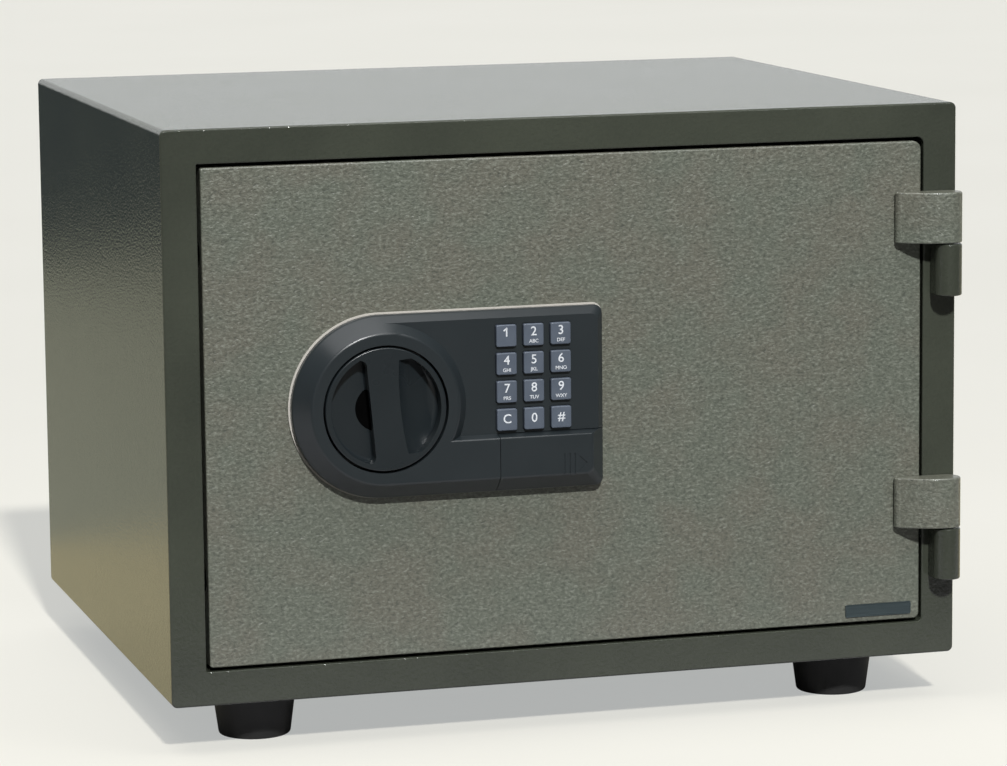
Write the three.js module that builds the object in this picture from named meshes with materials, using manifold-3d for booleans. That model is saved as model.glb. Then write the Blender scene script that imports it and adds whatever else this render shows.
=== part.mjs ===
// Small fireproof safe: a steel cabinet filled with insulation, a flush door on two barrel hinges
// and an electronic lock with a turning knob, twelve keys and a sliding battery cover.
// Millimetres, +Z up, +X to the right seen from the front, +Y from the front towards the back.
// The origin is under the middle of the whole safe, on the floor. The door is shut and unlocked.

import * as THREE from 'three';
import { mergeVertices } from 'three/addons/utils/BufferGeometryUtils.js';
import Module from 'manifold-3d';

const wasm = await Module();
wasm.setup();

// Gap between pieces that rest on each other
const seat = 0.3;

// How far a cutting form reaches past the faces that it opens, small and large
const over = 1;
const clear = 5;
const smallestCorner = 0.3;

// Cabinet
const bodyWidth = 412;
const bodyHeight = 285;
const bodyDepth = 335;
const shellWall = 1.6;
const shellEdgeRadius = 3;
const frontEdgeRound = 1.2;
const backPanelWall = 2;
const backPanelInset = 2;

// Front frame with its stepped jamb
const frameWall = 2;
const frameFaceSide = 17.7;
const frameFaceTop = 17.2;
const landDepth = 31;
const jambReturn = 14;

// Room inside, behind a filled wall that is as thick at the back as round the sides
const wallThickness = 45;
const linerWall = 1.2;
const linerCorner = 5;

// Feet
const footHeight = 25;
const footTopRadius = 21.4;
const footBottomRadius = 18.1;
const footEdgeRound = 2;
const footFromSide = 51;
const footFromFront = 43.7;
const footFromBack = 43.7;
const footScrewRadius = 2.5;
const footScrewHeadRadius = 5.5;
const footScrewHeadHeight = 3;
const footScrewBite = 14;
const footScrewTip = 2;
const footRecessGap = 1.5;
const footFloor = 6;

// Door panel and the plug behind it
const gapLockSide = 1.8;
const gapHingeSide = 1.3;
const gapTop = 1.8;
const gapBottom = 1.8;
const panelDepth = 27;
const panelWall = 2;
const panelCorner = 4;
const panelEdgeRound = 1.2;
const doorThickness = 75;
const plugGap = 4.5;
const plugDraft = 5.5;
const plugWall = 1.5;
const plugCorner = 8;
const sealWidth = 11;
const sealGap = 0.4;
const sealFromCavity = 1;
const coverScrewRadius = 2;
const coverScrewHeadRadius = 3.8;
const coverScrewHeadHeight = 1.8;
const coverScrewLength = 12;
const coverScrewInset = 7.5;
const screwRoomGap = 1;
const slabFromHousing = 6;

// Screw heads: share of the height that stands upright, and share of the radius left on top
const headUpright = 0.4;
const headTop = 0.65;

// Hinges: the lug turns with the door on top of the fixed knuckle
const barrelRadius = 7;
const hingeRunningGap = 0.4;
const lugHeight = 26;
const lugReach = 26.7;
const lugEndThickness = 4.9;
const lugEndCurve = 2.2;
const lugEndShoulder = 0.8;
const knuckleHeight = 26.5;
const hingeFromBottom = 48.4;
const hingeFromTop = 51.8;
const hingeSplitGap = 0.5;
const pinRadius = 3.2;
const pinBoreGap = 0.5;
const pinEndCover = 4;
const pinTopGap = 1;
const hingeEdgeRound = 0.8;

// Live bolts, the bar that carries them and the fixed bolts of the hinge side
const boltRadius = 8;
const boltThrow = 14;
const boltLength = 34;
const boltDepth = 13.5;
const boltFromEnd = 43;
const boltChamfer = 1.5;
const boltTipGap = 0.6;
const boltBore = 0.8;
const barWall = 3;
const barWidth = 17;
const barEnd = 14;
const armHeight = 28;
const armDepth = 10;
const armWall = 3;
const armPastFollower = 2;
const guideWall = 2;
const guideFromEdge = 14;
const guideFoot = 10;
const guidePastBolt = 8;
const lockworkGap = 1.5;
const fixedBoltRadius = 6;
const fixedBoltReach = 8;
const fixedBoltDepth = 15;
const fixedBoltHeadWall = 3;
const fixedBoltHeadRadius = 8.5;
const fixedBoltHeadRoom = 1.5;
const fixedBoltChamfer = 1;

// Knob, spindle and the cam plate whose spiral slot drives the bar
const knobFromPanelLeft = 87.8;
const knobAboveMiddle = 2.7;
const knobTurn = 90;
const knobRadius = 31.2;
const knobWellGap = 0.6;
const knobBackLevel = 3.3;
const knobEdgeRound = 0.8;
const gripWidth = 15;
const scoopRadius = 28;
const scoopFloorLevel = 5.8;
const scoopFloorRound = 2.5;
const scoopCorner = 3;
const pocketRadius = 10.5;
const pocketFloorLevel = 4.6;
const pocketRoofLevel = 9.6;
const hubRadius = 6;
const hubBackLevel = 0.6;
const hubHoleGap = 1;
const spindleRadius = 3.6;
const spindleBoreGap = 0.3;
const spindleTopLevel = 11;
const spindleEndGap = 0.5;
const spindleTail = 1.2;
const camRadius = 31;
const camWall = 3;
const camFront = 3.5;
const camSlotStart = 10;
const camSlotSteps = 18;
const camSpareTurn = 1.5;
const followerRadius = 2.5;
const followerTipGap = 0.5;
const slotGap = 0.5;

// Solenoid that blocks the bar when it is thrown
const plungerRadius = 2.5;
const plungerPull = 4;
const plungerLeftOfKnob = 29.3;
const plungerGap = 0.4;
const plungerBoreGap = 0.5;
const plungerTopGap = 1;
const collarFromTip = 3;
const collarReach = 1.5;
const collarWall = 1.5;
const solenoidWidth = 22;
const solenoidHeight = 28;
const solenoidLift = 12;
const solenoidTopWall = 3;
const notchDepth = 5;
const notchGap = 1;

// Lock housing; levels are measured forwards from the door's face
const housingHeight = 91;
const housingRightOfKnob = 114;
const housingCorner = 4;
const housingWallLevel = 4.5;
const housingTopLevel = 13.5;
const rimInset = 8;
const keypadLevel = 8.5;
const keypadWall = 2;
const stripHeight = 28.1;
const stripStep = 1.3;
const wellFloorLevel = 3;

// The rim's inner side meets the upright wall lower than its outer side, by this share of the wall
const rimWallShift = 0.4;

// Keys and their board
const keyColumns = 3;
const keyRows = 4;
const keyWidth = 10.4;
const keyRowGap = 3;
const keysFromStep = 1.65;
const keysFromTop = 6.95;
const keyCorner = 1;
const keyPitchX = 14;
const keypadRightOfKnob = 76.6;
const keyProud = 2;
const keyEdgeRound = 0.6;
const keyGap = 0.35;
const keyTravel = 1;
const keyFlangeReach = 1.2;
const keyFlangeWall = 1.2;
const keyStemRadius = 1.6;
const keyStemGap = 0.1;
const domeHeight = 0.8;
const domeRadius = 3.2;
const domeTopShare = 0.7;
const boardWall = 1.6;
const boardMargin = 4;
const boardBackLevel = 0.8;

// Battery cover, tray and cells
const coverRightOfKnob = 58.2;
const coverWall = 1.6;
const coverGap = 0.3;
const cellRadius = 5.25;
const cellLength = 44.5;
const cellPitch = 11;
const cellEndRoom = 2;
const nubHeight = 1;
const nubRadius = 1.9;
const cellRows = 2;
const trayWall = 1.2;
const trayFrontLevel = 3.4;
const trayBottomGap = 0.6;
const trayFromCover = 1.5;
const cellGap = 0.3;

// Worked out from the dimensions above
const middleZ = bodyHeight / 2;
const openingWidth = bodyWidth - 2 * frameFaceSide;
const openingHeight = bodyHeight - 2 * frameFaceTop;
const cavityWidth = bodyWidth - 2 * wallThickness;
const cavityHeight = bodyHeight - 2 * wallThickness;
const cavityBack = bodyDepth - wallThickness;
const hingeX = bodyWidth / 2 - barrelRadius;
const hingeOut = barrelRadius + hingeRunningGap;
const frontReach = Math.max(hingeOut + barrelRadius, housingTopLevel);
const panelLeft = -openingWidth / 2 + gapLockSide;
const panelRight = openingWidth / 2 - gapHingeSide;
const panelTop = middleZ + openingHeight / 2 - gapTop;
const panelBottom = middleZ - openingHeight / 2 + gapBottom;
const jambX = openingWidth / 2 + frameWall;
const jambZ = openingHeight / 2 + frameWall;
const shellInsideX = bodyWidth / 2 - shellWall;
const shellInsideZ = bodyHeight / 2 - shellWall;
const hingeSplitHeights = [panelBottom + hingeFromBottom, panelTop - hingeFromTop];
const boltHeights = [panelBottom + boltFromEnd, panelTop - boltFromEnd];
const knobX = panelLeft + knobFromPanelLeft;
const knobZ = middleZ + knobAboveMiddle;
const plungerX = knobX - plungerLeftOfKnob;
const keypadX = knobX + keypadRightOfKnob;
const coverX = knobX + coverRightOfKnob;
const knobWellRadius = knobRadius + knobWellGap;
const spiralRate = boltThrow / THREE.MathUtils.degToRad(knobTurn);
const keypadBackLevel = keypadLevel - keypadWall;
const keypadHalfX = ((keyColumns - 1) * keyPitchX + keyWidth) / 2;
const housingBottom = knobZ - housingHeight / 2;
const housingRight = knobX + housingRightOfKnob;
const stripTop = housingBottom + stripHeight;
const keypadBottom = stripTop + stripStep;
const keysBottom = keypadBottom + keysFromStep;
const keysTop = housingBottom + housingHeight - keysFromTop;
const keypadHalfZ = (keysTop - keysBottom) / 2;
const keypadZ = (keysTop + keysBottom) / 2;
const keyHeight = (2 * keypadHalfZ - (keyRows - 1) * keyRowGap) / keyRows;
const keyPitchZ = keyHeight + keyRowGap;
const coverFlangeY = panelDepth - plugWall - seat;
const boltTipX = panelLeft + boltTipGap;
const boltInnerX = boltTipX + boltLength;
const barX = boltInnerX + seat;
const armFront = armDepth - armWall / 2;
const followerX = knobX - camSlotStart;
const armTop = knobZ + armHeight / 2;
const plungerTip = armTop + plungerGap;

// Finishes
function paint(color, roughness, metalness) {
  return new THREE.MeshStandardMaterial({ color, roughness, metalness });
}
const bodyPaint = paint(0x4b4c43, 0.35, 0.1);
const doorPaint = paint(0x85867a, 0.5, 0.1);
const linerPaint = paint(0x8a8b84, 0.5, 0.1);
const insulation = paint(0xcfcabd, 0.95, 0);
const blackPlastic = paint(0x1b1c1e, 0.38, 0);
const keyPlastic = paint(0x5d6470, 0.5, 0);
const bareSteel = paint(0xb4b6b8, 0.35, 1);
const chromeSteel = paint(0xd0d2d4, 0.12, 1);
const rubber = paint(0x161616, 0.8, 0);
const boardGreen = paint(0x1f5a3a, 0.5, 0);
const cellSleeve = paint(0x2c3f6b, 0.35, 0.4);

// A closed geometry as a solid that can be joined and cut
function solid(geometry) {
  const bare = geometry.clone();
  bare.deleteAttribute('normal');
  bare.deleteAttribute('uv');
  const merged = mergeVertices(bare, 1e-4);
  return new wasm.Manifold(new wasm.Mesh({
    numProp: 3,
    vertProperties: new Float32Array(merged.attributes.position.array),
    triVerts: new Uint32Array(merged.index.array),
  }));
}

function join(...pieces) {
  return pieces.reduce((whole, piece) => whole.add(piece));
}

function cut(piece, ...tools) {
  return tools.reduce((rest, tool) => rest.subtract(tool), piece);
}

function box(x0, x1, y0, y1, z0, z1) {
  const geometry = new THREE.BoxGeometry(x1 - x0, y1 - y0, z1 - z0);
  geometry.translate((x0 + x1) / 2, (y0 + y1) / 2, (z0 + z1) / 2);
  return solid(geometry);
}

// Cylinders between two places along each axis; the second radius makes a cone
function alongZ(radius, z0, z1, x, y, sides = 32, radiusEnd = radius) {
  const geometry = new THREE.CylinderGeometry(radiusEnd, radius, z1 - z0, sides);
  geometry.rotateX(Math.PI / 2);
  geometry.translate(x, y, (z0 + z1) / 2);
  return solid(geometry);
}

function alongY(radius, y0, y1, x, z, sides = 32, radiusEnd = radius) {
  const geometry = new THREE.CylinderGeometry(radiusEnd, radius, y1 - y0, sides);
  geometry.translate(x, (y0 + y1) / 2, z);
  return solid(geometry);
}

function alongX(radius, x0, x1, y, z, sides = 32) {
  const geometry = new THREE.CylinderGeometry(radius, radius, x1 - x0, sides);
  geometry.rotateZ(Math.PI / 2);
  geometry.translate((x0 + x1) / 2, y, z);
  return solid(geometry);
}

// A turned piece: the profile's pairs are radius and height, and its axis points along +Z
function turned(profile, sides) {
  return new THREE.LatheGeometry(profile.map(([r, h]) => new THREE.Vector2(r, h)), sides)
    .rotateX(Math.PI / 2);
}

// Rounded rectangle as points, counterclockwise seen from the front
function roundedRectangle(x0, x1, z0, z1, radius, steps = 4) {
  const r = Math.min(radius, (x1 - x0) / 2 - 0.01, (z1 - z0) / 2 - 0.01);
  const corners = [
    [x1 - r, z0 + r, -90], [x1 - r, z1 - r, 0], [x0 + r, z1 - r, 90], [x0 + r, z0 + r, 180],
  ];
  const points = [];
  for (const [x, z, start] of corners) {
    for (let step = 0; step <= steps; step++) {
      const angle = THREE.MathUtils.degToRad(start + 90 * step / steps);
      points.push(new THREE.Vector2(x + r * Math.cos(angle), z + r * Math.sin(angle)));
    }
  }
  return points;
}

// A solid through outlines in the front plane, each at its own y, from the back to the front
function loft(sections) {
  const count = sections[0].points.length;
  const positions = [];
  for (const { points, y } of sections) {
    for (const point of points) positions.push(point.x, y, point.y);
  }
  const index = [];
  for (let level = 0; level < sections.length - 1; level++) {
    for (let i = 0; i < count; i++) {
      const back = level * count + i;
      const backNext = level * count + (i + 1) % count;
      const front = back + count;
      const frontNext = backNext + count;
      index.push(back, backNext, frontNext, back, frontNext, front);
    }
  }
  const last = (sections.length - 1) * count;
  for (const [a, b, c] of THREE.ShapeUtils.triangulateShape(sections[0].points, [])) {
    index.push(a, c, b);
    index.push(last + a, last + b, last + c);
  }
  const geometry = new THREE.BufferGeometry();
  geometry.setAttribute('position', new THREE.Float32BufferAttribute(positions, 3));
  geometry.setIndex(index);
  return solid(geometry);
}

// A slab whose front edge is rounded
function roundedSlab(x0, x1, z0, z1, corner, yBack, yFront, round, steps = 3) {
  const sections = [{ points: roundedRectangle(x0, x1, z0, z1, corner), y: yBack }];
  for (let step = 0; step <= steps; step++) {
    const angle = Math.PI / 2 * step / steps;
    const inset = round * (1 - Math.cos(angle));
    const innerCorner = Math.max(corner - inset, smallestCorner);
    sections.push({
      points: roundedRectangle(x0 + inset, x1 - inset, z0 + inset, z1 - inset, innerCorner),
      y: yFront + round * (1 - Math.sin(angle)),
    });
  }
  return loft(sections);
}

// A prism along x from a profile in the y-z plane, given as pairs of y and z
function prismX(profile, x0, x1) {
  const shape = new THREE.Shape(profile.map(([y, z]) => new THREE.Vector2(y, z)));
  const geometry = new THREE.ExtrudeGeometry(shape, { depth: x1 - x0, bevelEnabled: false });
  geometry.rotateX(Math.PI / 2);
  geometry.rotateZ(Math.PI / 2);
  geometry.translate(x0, 0, 0);
  return solid(geometry);
}

// A prism towards the front from a shape in the front plane, with a round on its back edge
function prismFront(shape, yBack, yFront, backRound = 0, curveSegments = 8) {
  const geometry = new THREE.ExtrudeGeometry(shape, {
    depth: yBack - yFront - backRound,
    bevelEnabled: backRound > 0,
    bevelThickness: backRound,
    bevelSize: backRound,
    bevelOffset: -backRound,
    bevelSegments: 2,
    curveSegments,
  });
  geometry.rotateX(Math.PI / 2);
  geometry.translate(0, yBack - backRound, 0);
  return solid(geometry);
}

// Places a finished piece in the scene under its own name
function place(group, name, shape, material) {
  let geometry = shape;
  if (!shape.isBufferGeometry) {
    const mesh = shape.getMesh();
    geometry = new THREE.BufferGeometry();
    geometry.setAttribute('position', new THREE.BufferAttribute(mesh.vertProperties, 3));
    geometry.setIndex(new THREE.BufferAttribute(mesh.triVerts, 1));
    geometry.computeVertexNormals();
  }
  const mesh = new THREE.Mesh(geometry, material);
  mesh.name = name;
  group.add(mesh);
  return mesh;
}

// Heights of the pieces that come in pairs
const pairNames = ['lower', 'upper'];

const safe = new THREE.Group();
const cabinet = new THREE.Group();
cabinet.position.set(0, (frontReach - bodyDepth) / 2, footHeight);
safe.add(cabinet);

// Where the feet stand
const footX = bodyWidth / 2 - footFromSide;
const footPlaces = [
  ['front_left', -footX, footFromFront],
  ['front_right', footX, footFromFront],
  ['back_left', -footX, bodyDepth - footFromBack],
  ['back_right', footX, bodyDepth - footFromBack],
];
const footScrewHole = footScrewRadius + seat;

function footHoles(z0, z1) {
  return footPlaces.map(([, x, y]) => alongZ(footScrewHole, z0, z1, x, y, 16));
}

// Outer shell: one wrapper of sheet steel, open at the front and the back
function outerShell() {
  const outside = roundedSlab(
    -bodyWidth / 2, bodyWidth / 2, 0, bodyHeight, shellEdgeRadius, bodyDepth, 0, frontEdgeRound);
  const inside = box(
    -shellInsideX, shellInsideX, -over, bodyDepth + over, middleZ - shellInsideZ, middleZ + shellInsideZ);
  return cut(outside, inside, ...footHoles(-over, shellWall + over));
}

// Room that the jamb of the front frame takes up, with a gap all round
function jambRoom(gap) {
  return join(
    box(
      -jambX - gap, jambX + gap, 0, landDepth + frameWall + gap,
      middleZ - jambZ - gap, middleZ + jambZ + gap),
    box(
      -cavityWidth / 2 - frameWall - gap, cavityWidth / 2 + frameWall + gap,
      0, landDepth + jambReturn + gap,
      middleZ - cavityHeight / 2 - frameWall - gap, middleZ + cavityHeight / 2 + frameWall + gap));
}

function cavityRoom(y0, y1) {
  return box(
    -cavityWidth / 2, cavityWidth / 2, y0, y1, middleZ - cavityHeight / 2, middleZ + cavityHeight / 2);
}

// A fixed bolt swings out of its slot, so the slot reaches further forwards than the bolt
const fixedTipX = panelRight + fixedBoltReach;
const fixedTipReach = Math.hypot(hingeX - fixedTipX, hingeOut + fixedBoltDepth - fixedBoltRadius);
const slotMouth = hingeX - openingWidth / 2;
const slotFront = Math.sqrt(fixedTipReach ** 2 - slotMouth ** 2) - hingeOut - 2 * seat;
const slotHalf = fixedBoltRadius + boltBore;

function fixedBoltRoom(x1) {
  return boltHeights.map((z) =>
    box(openingWidth / 2 - over, x1, slotFront, fixedBoltDepth + slotHalf, z - slotHalf, z + slotHalf));
}

function liveBoltRoom(x0) {
  const half = boltRadius + 2 * boltBore;
  return boltHeights.map((z) =>
    box(x0, over - openingWidth / 2, boltDepth - half, boltDepth + half, z - half, z + half));
}

// Front frame: face, jamb, seal land and the return that meets the liner
function frontFrame() {
  const faceX = shellInsideX - seat;
  const faceZ = shellInsideZ - seat;
  const face = box(-faceX, faceX, 0, frameWall, middleZ - faceZ, middleZ + faceZ);
  const opening = box(
    -openingWidth / 2, openingWidth / 2, -over, landDepth,
    middleZ - openingHeight / 2, middleZ + openingHeight / 2);
  return cut(
    join(face, jambRoom(0)), opening, cavityRoom(-over, landDepth + jambReturn + over),
    ...liveBoltRoom(-jambX - over), ...fixedBoltRoom(jambX + over));
}

// The filling stops behind the upright jambs, so that the bolts reach into an empty channel
function boltChannel(x0, x1) {
  return box(x0, x1, 0, landDepth + frameWall + seat, -over, bodyHeight + over);
}

// Insulation cast between the shell, the frame and the liner
function fireFill() {
  const x = shellInsideX - seat;
  const z = shellInsideZ - seat;
  const back = bodyDepth - backPanelInset - backPanelWall - seat;
  const block = box(-x, x, frameWall + seat, back, middleZ - z, middleZ + z);
  const linerX = cavityWidth / 2 + linerWall + seat;
  const linerZ = cavityHeight / 2 + linerWall + seat;
  const linerPocket = box(
    -linerX, linerX, 0, cavityBack + linerWall + seat, middleZ - linerZ, middleZ + linerZ);
  const biteTop = shellWall + seat + footScrewBite;
  return cut(
    block, linerPocket, jambRoom(seat), ...footHoles(0, biteTop),
    boltChannel(-x - over, -jambX), boltChannel(jambX, x + over));
}

// Liner: a pressed steel box, open at the front
function innerLiner() {
  const front = landDepth + jambReturn + seat;
  const x = cavityWidth / 2;
  const z = cavityHeight / 2;
  const back = cavityBack;
  const outside = loft([back + linerWall, front].map((y) => ({
    points: roundedRectangle(
      -x - linerWall, x + linerWall, middleZ - z - linerWall, middleZ + z + linerWall,
      linerCorner + linerWall),
    y,
  })));
  const inside = loft([back, front - over].map((y) => ({
    points: roundedRectangle(-x, x, middleZ - z, middleZ + z, linerCorner),
    y,
  })));
  return cut(outside, inside);
}

function backPanel() {
  const x = shellInsideX - seat;
  const z = shellInsideZ - seat;
  const y = bodyDepth - backPanelInset;
  return box(-x, x, y - backPanelWall, y, middleZ - z, middleZ + z);
}

place(cabinet, 'outer_shell', outerShell(), bodyPaint);
place(cabinet, 'front_frame', frontFrame(), bodyPaint);
place(cabinet, 'back_panel', backPanel(), bodyPaint);
place(cabinet, 'fire_fill', fireFill(), insulation);
place(cabinet, 'inner_liner', innerLiner(), linerPaint);

// Foot: a tapered cup with a recess for its screw
function foot() {
  const top = -seat;
  const recess = footScrewHeadRadius + footRecessGap;
  const floor = top - footFloor;
  return turned([
    [footScrewHole, top], [footScrewHole, floor], [recess, floor], [recess, -footHeight],
    [footBottomRadius - footEdgeRound, -footHeight], [footBottomRadius, -footHeight + footEdgeRound],
    [footTopRadius, top - footEdgeRound / 2], [footTopRadius - footEdgeRound / 2, top],
    [footScrewHole, top],
  ], 24);
}

function footScrew() {
  const underHead = -seat - footFloor - seat;
  return turned([
    [0, underHead - footScrewHeadHeight], [footScrewHeadRadius * headTop, underHead - footScrewHeadHeight],
    [footScrewHeadRadius, underHead - footScrewHeadHeight * headUpright], [footScrewHeadRadius, underHead],
    [footScrewRadius, underHead], [footScrewRadius, shellWall + footScrewBite - footScrewTip],
    [0, shellWall + footScrewBite],
  ], 12);
}

for (const [name, x, y] of footPlaces) {
  place(cabinet, `foot_${name}`, foot(), rubber).position.set(x, y, 0);
  place(cabinet, `foot_screw_${name}`, footScrew(), bareSteel).position.set(x, y, 0);
}

// Hinge pieces are drawn from above, with the shape's y pointing forwards from the door's face
function hingeProfile(shape, height) {
  const geometry = new THREE.ExtrudeGeometry(shape, {
    depth: height - 2 * hingeEdgeRound,
    bevelThickness: hingeEdgeRound,
    bevelSize: hingeEdgeRound,
    bevelOffset: -hingeEdgeRound,
    bevelSegments: 2,
    curveSegments: 10,
  });
  geometry.translate(0, 0, hingeEdgeRound);
  return solid(geometry).mirror([0, 1, 0]);
}

function knuckle() {
  const shape = new THREE.Shape();
  shape.moveTo(hingeX - barrelRadius, seat);
  shape.lineTo(hingeX + barrelRadius, seat);
  shape.lineTo(hingeX + barrelRadius, hingeOut);
  shape.absarc(hingeX, hingeOut, barrelRadius, 0, Math.PI, false);
  const block = hingeProfile(shape, knuckleHeight);
  return cut(block, alongZ(pinRadius + pinBoreGap, -over, knuckleHeight + over, hingeX, -hingeOut, 20));
}

// Lug: thin where it lies on the door, rising in a smooth curve to the barrel
function hingeLug() {
  const left = hingeX - lugReach;
  const shape = new THREE.Shape();
  shape.moveTo(hingeX, hingeRunningGap);
  shape.absarc(hingeX, hingeOut, barrelRadius, -Math.PI / 2, Math.PI / 2, false);
  shape.quadraticCurveTo(
    hingeX - lugReach / 2, hingeOut + barrelRadius, left + lugEndCurve, lugEndThickness + hingeRunningGap);
  shape.quadraticCurveTo(left, lugEndThickness - lugEndShoulder, left, lugEndThickness / 2);
  shape.lineTo(left, hingeRunningGap);
  const block = hingeProfile(shape, lugHeight);
  return cut(block, alongZ(pinRadius + pinBoreGap, -over, lugHeight - pinEndCover, hingeX, -hingeOut, 20));
}

const door = new THREE.Group();
cabinet.add(door);

hingeSplitHeights.forEach((split, i) => {
  const name = pairNames[i];
  const pinBottom = split - knuckleHeight + seat;
  const pinTop = split + hingeSplitGap / 2 + lugHeight - pinEndCover - pinTopGap;
  const pin = alongZ(pinRadius, pinBottom, pinTop, hingeX, -hingeOut, 20);
  place(cabinet, `hinge_knuckle_${name}`, knuckle(), bodyPaint)
    .position.z = split - hingeSplitGap / 2 - knuckleHeight;
  place(cabinet, `hinge_pin_${name}`, pin, bareSteel);
  place(door, `hinge_lug_${name}`, hingeLug(), doorPaint).position.z = split + hingeSplitGap / 2;
});

// Battery tray room, worked out from the cells
const trayInsideBottom = housingBottom + coverWall + trayBottomGap + trayWall;
const trayInsideTop = trayInsideBottom + (cellRows - 1) * cellPitch + 2 * cellRadius + 2 * cellGap;
const trayInsideLeft = coverX + coverGap + trayWall + trayFromCover;
const trayInsideRight = trayInsideLeft + cellLength + cellEndRoom;
const trayFloorY = 2 * cellPitch - cellRadius + cellGap;

function trayRoom(gap, y0, y1) {
  return box(
    trayInsideLeft - trayWall - gap, trayInsideRight + trayWall + gap, y0, y1,
    trayInsideBottom - trayWall - gap, trayInsideTop + trayWall + gap);
}

// Door panel: a pressed pan, open at the back
function doorPanel() {
  const pan = roundedSlab(
    panelLeft, panelRight, panelBottom, panelTop, panelCorner, panelDepth, 0, panelEdgeRound);
  const hollow = box(
    panelLeft + panelWall, panelRight - panelWall, panelWall, panelDepth + over,
    panelBottom + panelWall, panelTop - panelWall);
  const boltHoles = boltHeights.map((z) =>
    alongX(boltRadius + boltBore, panelLeft - over, panelLeft + panelWall + over, boltDepth, z, 24));
  const fixedHoles = boltHeights.map((z) => alongX(
    fixedBoltRadius + seat, panelRight - panelWall - over, panelRight + over, fixedBoltDepth, z, 20));
  return cut(
    pan, hollow, alongY(hubRadius + spindleBoreGap, -over, panelWall + over, knobX, knobZ, 24),
    trayRoom(seat, -over, panelWall + over), ...boltHoles, ...fixedHoles);
}

// The plug's outline shrinks evenly from its foot on the flange to the door's inner face
function plugForm(inset, yFront, yBack) {
  const x = cavityWidth / 2 - plugGap - inset;
  const z = cavityHeight / 2 - plugGap - inset;
  const slope = plugDraft / (doorThickness - panelDepth);
  const sections = [yBack, yFront].map((y) => {
    const draft = slope * (y - panelDepth);
    return {
      points: roundedRectangle(
        -x + draft, x - draft, middleZ - z + draft, middleZ + z - draft, plugCorner - inset),
      y,
    };
  });
  return loft(sections);
}

function flangeSlab(gap, y0, y1) {
  return box(
    panelLeft + panelWall + gap, panelRight - panelWall - gap, y0, y1,
    panelBottom + panelWall + gap, panelTop - panelWall - gap);
}

const coverScrewPlaces = [
  ['lower_left', panelLeft + panelWall + coverScrewInset, panelBottom + panelWall + coverScrewInset],
  ['lower_right', panelRight - panelWall - coverScrewInset, panelBottom + panelWall + coverScrewInset],
  ['upper_left', panelLeft + panelWall + coverScrewInset, panelTop - panelWall - coverScrewInset],
  ['upper_right', panelRight - panelWall - coverScrewInset, panelTop - panelWall - coverScrewInset],
];

// Inner cover: a flange that closes the pan, and the drafted plug that fills the doorway
function doorInnerCover() {
  const flange = flangeSlab(seat, coverFlangeY, coverFlangeY + plugWall);
  const plug = plugForm(0, coverFlangeY, doorThickness);
  const hollow = plugForm(plugWall, coverFlangeY - over, doorThickness - plugWall);
  const screwHoles = coverScrewPlaces.map(([, x, z]) => alongY(
    coverScrewRadius + seat, coverFlangeY - over, coverFlangeY + plugWall + over, x, z, 12));
  return cut(join(flange, plug), hollow, ...screwHoles);
}

const lockworkBack = boltDepth + boltRadius + lockworkGap;
const slabLeft = housingRight + slabFromHousing;

// Door filling: the plug's core and a slab behind the plain part of the panel
function doorFill() {
  const core = plugForm(plugWall + seat, lockworkBack, doorThickness - plugWall - seat);
  const slab = box(
    slabLeft, panelRight - panelWall - seat, panelWall + seat, coverFlangeY - seat,
    panelBottom + panelWall + seat, panelTop - panelWall - seat);
  const headRoomX = panelRight - panelWall - seat - fixedBoltHeadWall - fixedBoltHeadRoom;
  const headRooms = boltHeights.map((z) =>
    alongX(fixedBoltHeadRadius + fixedBoltHeadRoom, headRoomX, panelRight, fixedBoltDepth, z, 20));
  const screwRooms = coverScrewPlaces.map(([, x, z]) =>
    alongY(coverScrewRadius + screwRoomGap, coverFlangeY - coverScrewLength, coverFlangeY, x, z, 12));
  return cut(join(core, slab), ...headRooms, ...screwRooms);
}

function doorSeal() {
  const front = panelDepth;
  const back = landDepth - sealGap;
  const x = cavityWidth / 2 + sealFromCavity;
  const z = cavityHeight / 2 + sealFromCavity;
  const slab = (grow, yBack, yFront) => loft([yBack, yFront].map((y) => ({
    points: roundedRectangle(-x - grow, x + grow, middleZ - z - grow, middleZ + z + grow, plugCorner + grow),
    y,
  })));
  return cut(slab(sealWidth, back, front), slab(0, back + over, front - over));
}

function coverScrew() {
  const underHead = coverFlangeY + plugWall + seat;
  return turned([
    [0, underHead - coverScrewLength], [coverScrewRadius, underHead - coverScrewLength + coverScrewRadius],
    [coverScrewRadius, underHead], [coverScrewHeadRadius, underHead],
    [coverScrewHeadRadius, underHead + coverScrewHeadHeight * headUpright],
    [coverScrewHeadRadius * headTop, underHead + coverScrewHeadHeight],
    [0, underHead + coverScrewHeadHeight],
  ], 10).rotateX(-Math.PI / 2);
}

place(door, 'door_panel', doorPanel(), doorPaint);
place(door, 'door_fill', doorFill(), insulation);
place(door, 'door_inner_cover', doorInnerCover(), linerPaint);
place(door, 'door_seal', doorSeal(), rubber);
for (const [name, x, z] of coverScrewPlaces) {
  place(door, `cover_screw_${name}`, coverScrew(), bareSteel).position.set(x, 0, z);
}

// Fixed bolt: a pin through the panel's folded edge, with its head inside
function fixedBolt() {
  const inner = panelRight - panelWall - seat;
  return turned([
    [0, inner - fixedBoltHeadWall], [fixedBoltHeadRadius, inner - fixedBoltHeadWall],
    [fixedBoltHeadRadius, inner], [fixedBoltRadius, inner],
    [fixedBoltRadius, fixedTipX - fixedBoltChamfer], [fixedBoltRadius - fixedBoltChamfer, fixedTipX],
    [0, fixedTipX],
  ], 16).rotateY(Math.PI / 2);
}

// Live bolt: a chamfered bar that points to the lock side
function liveBolt() {
  return turned([
    [0, boltInnerX], [boltRadius, boltInnerX], [boltRadius, boltTipX + boltChamfer],
    [boltRadius - boltChamfer, boltTipX], [0, boltTipX],
  ].reverse(), 20).rotateY(Math.PI / 2);
}

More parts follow.
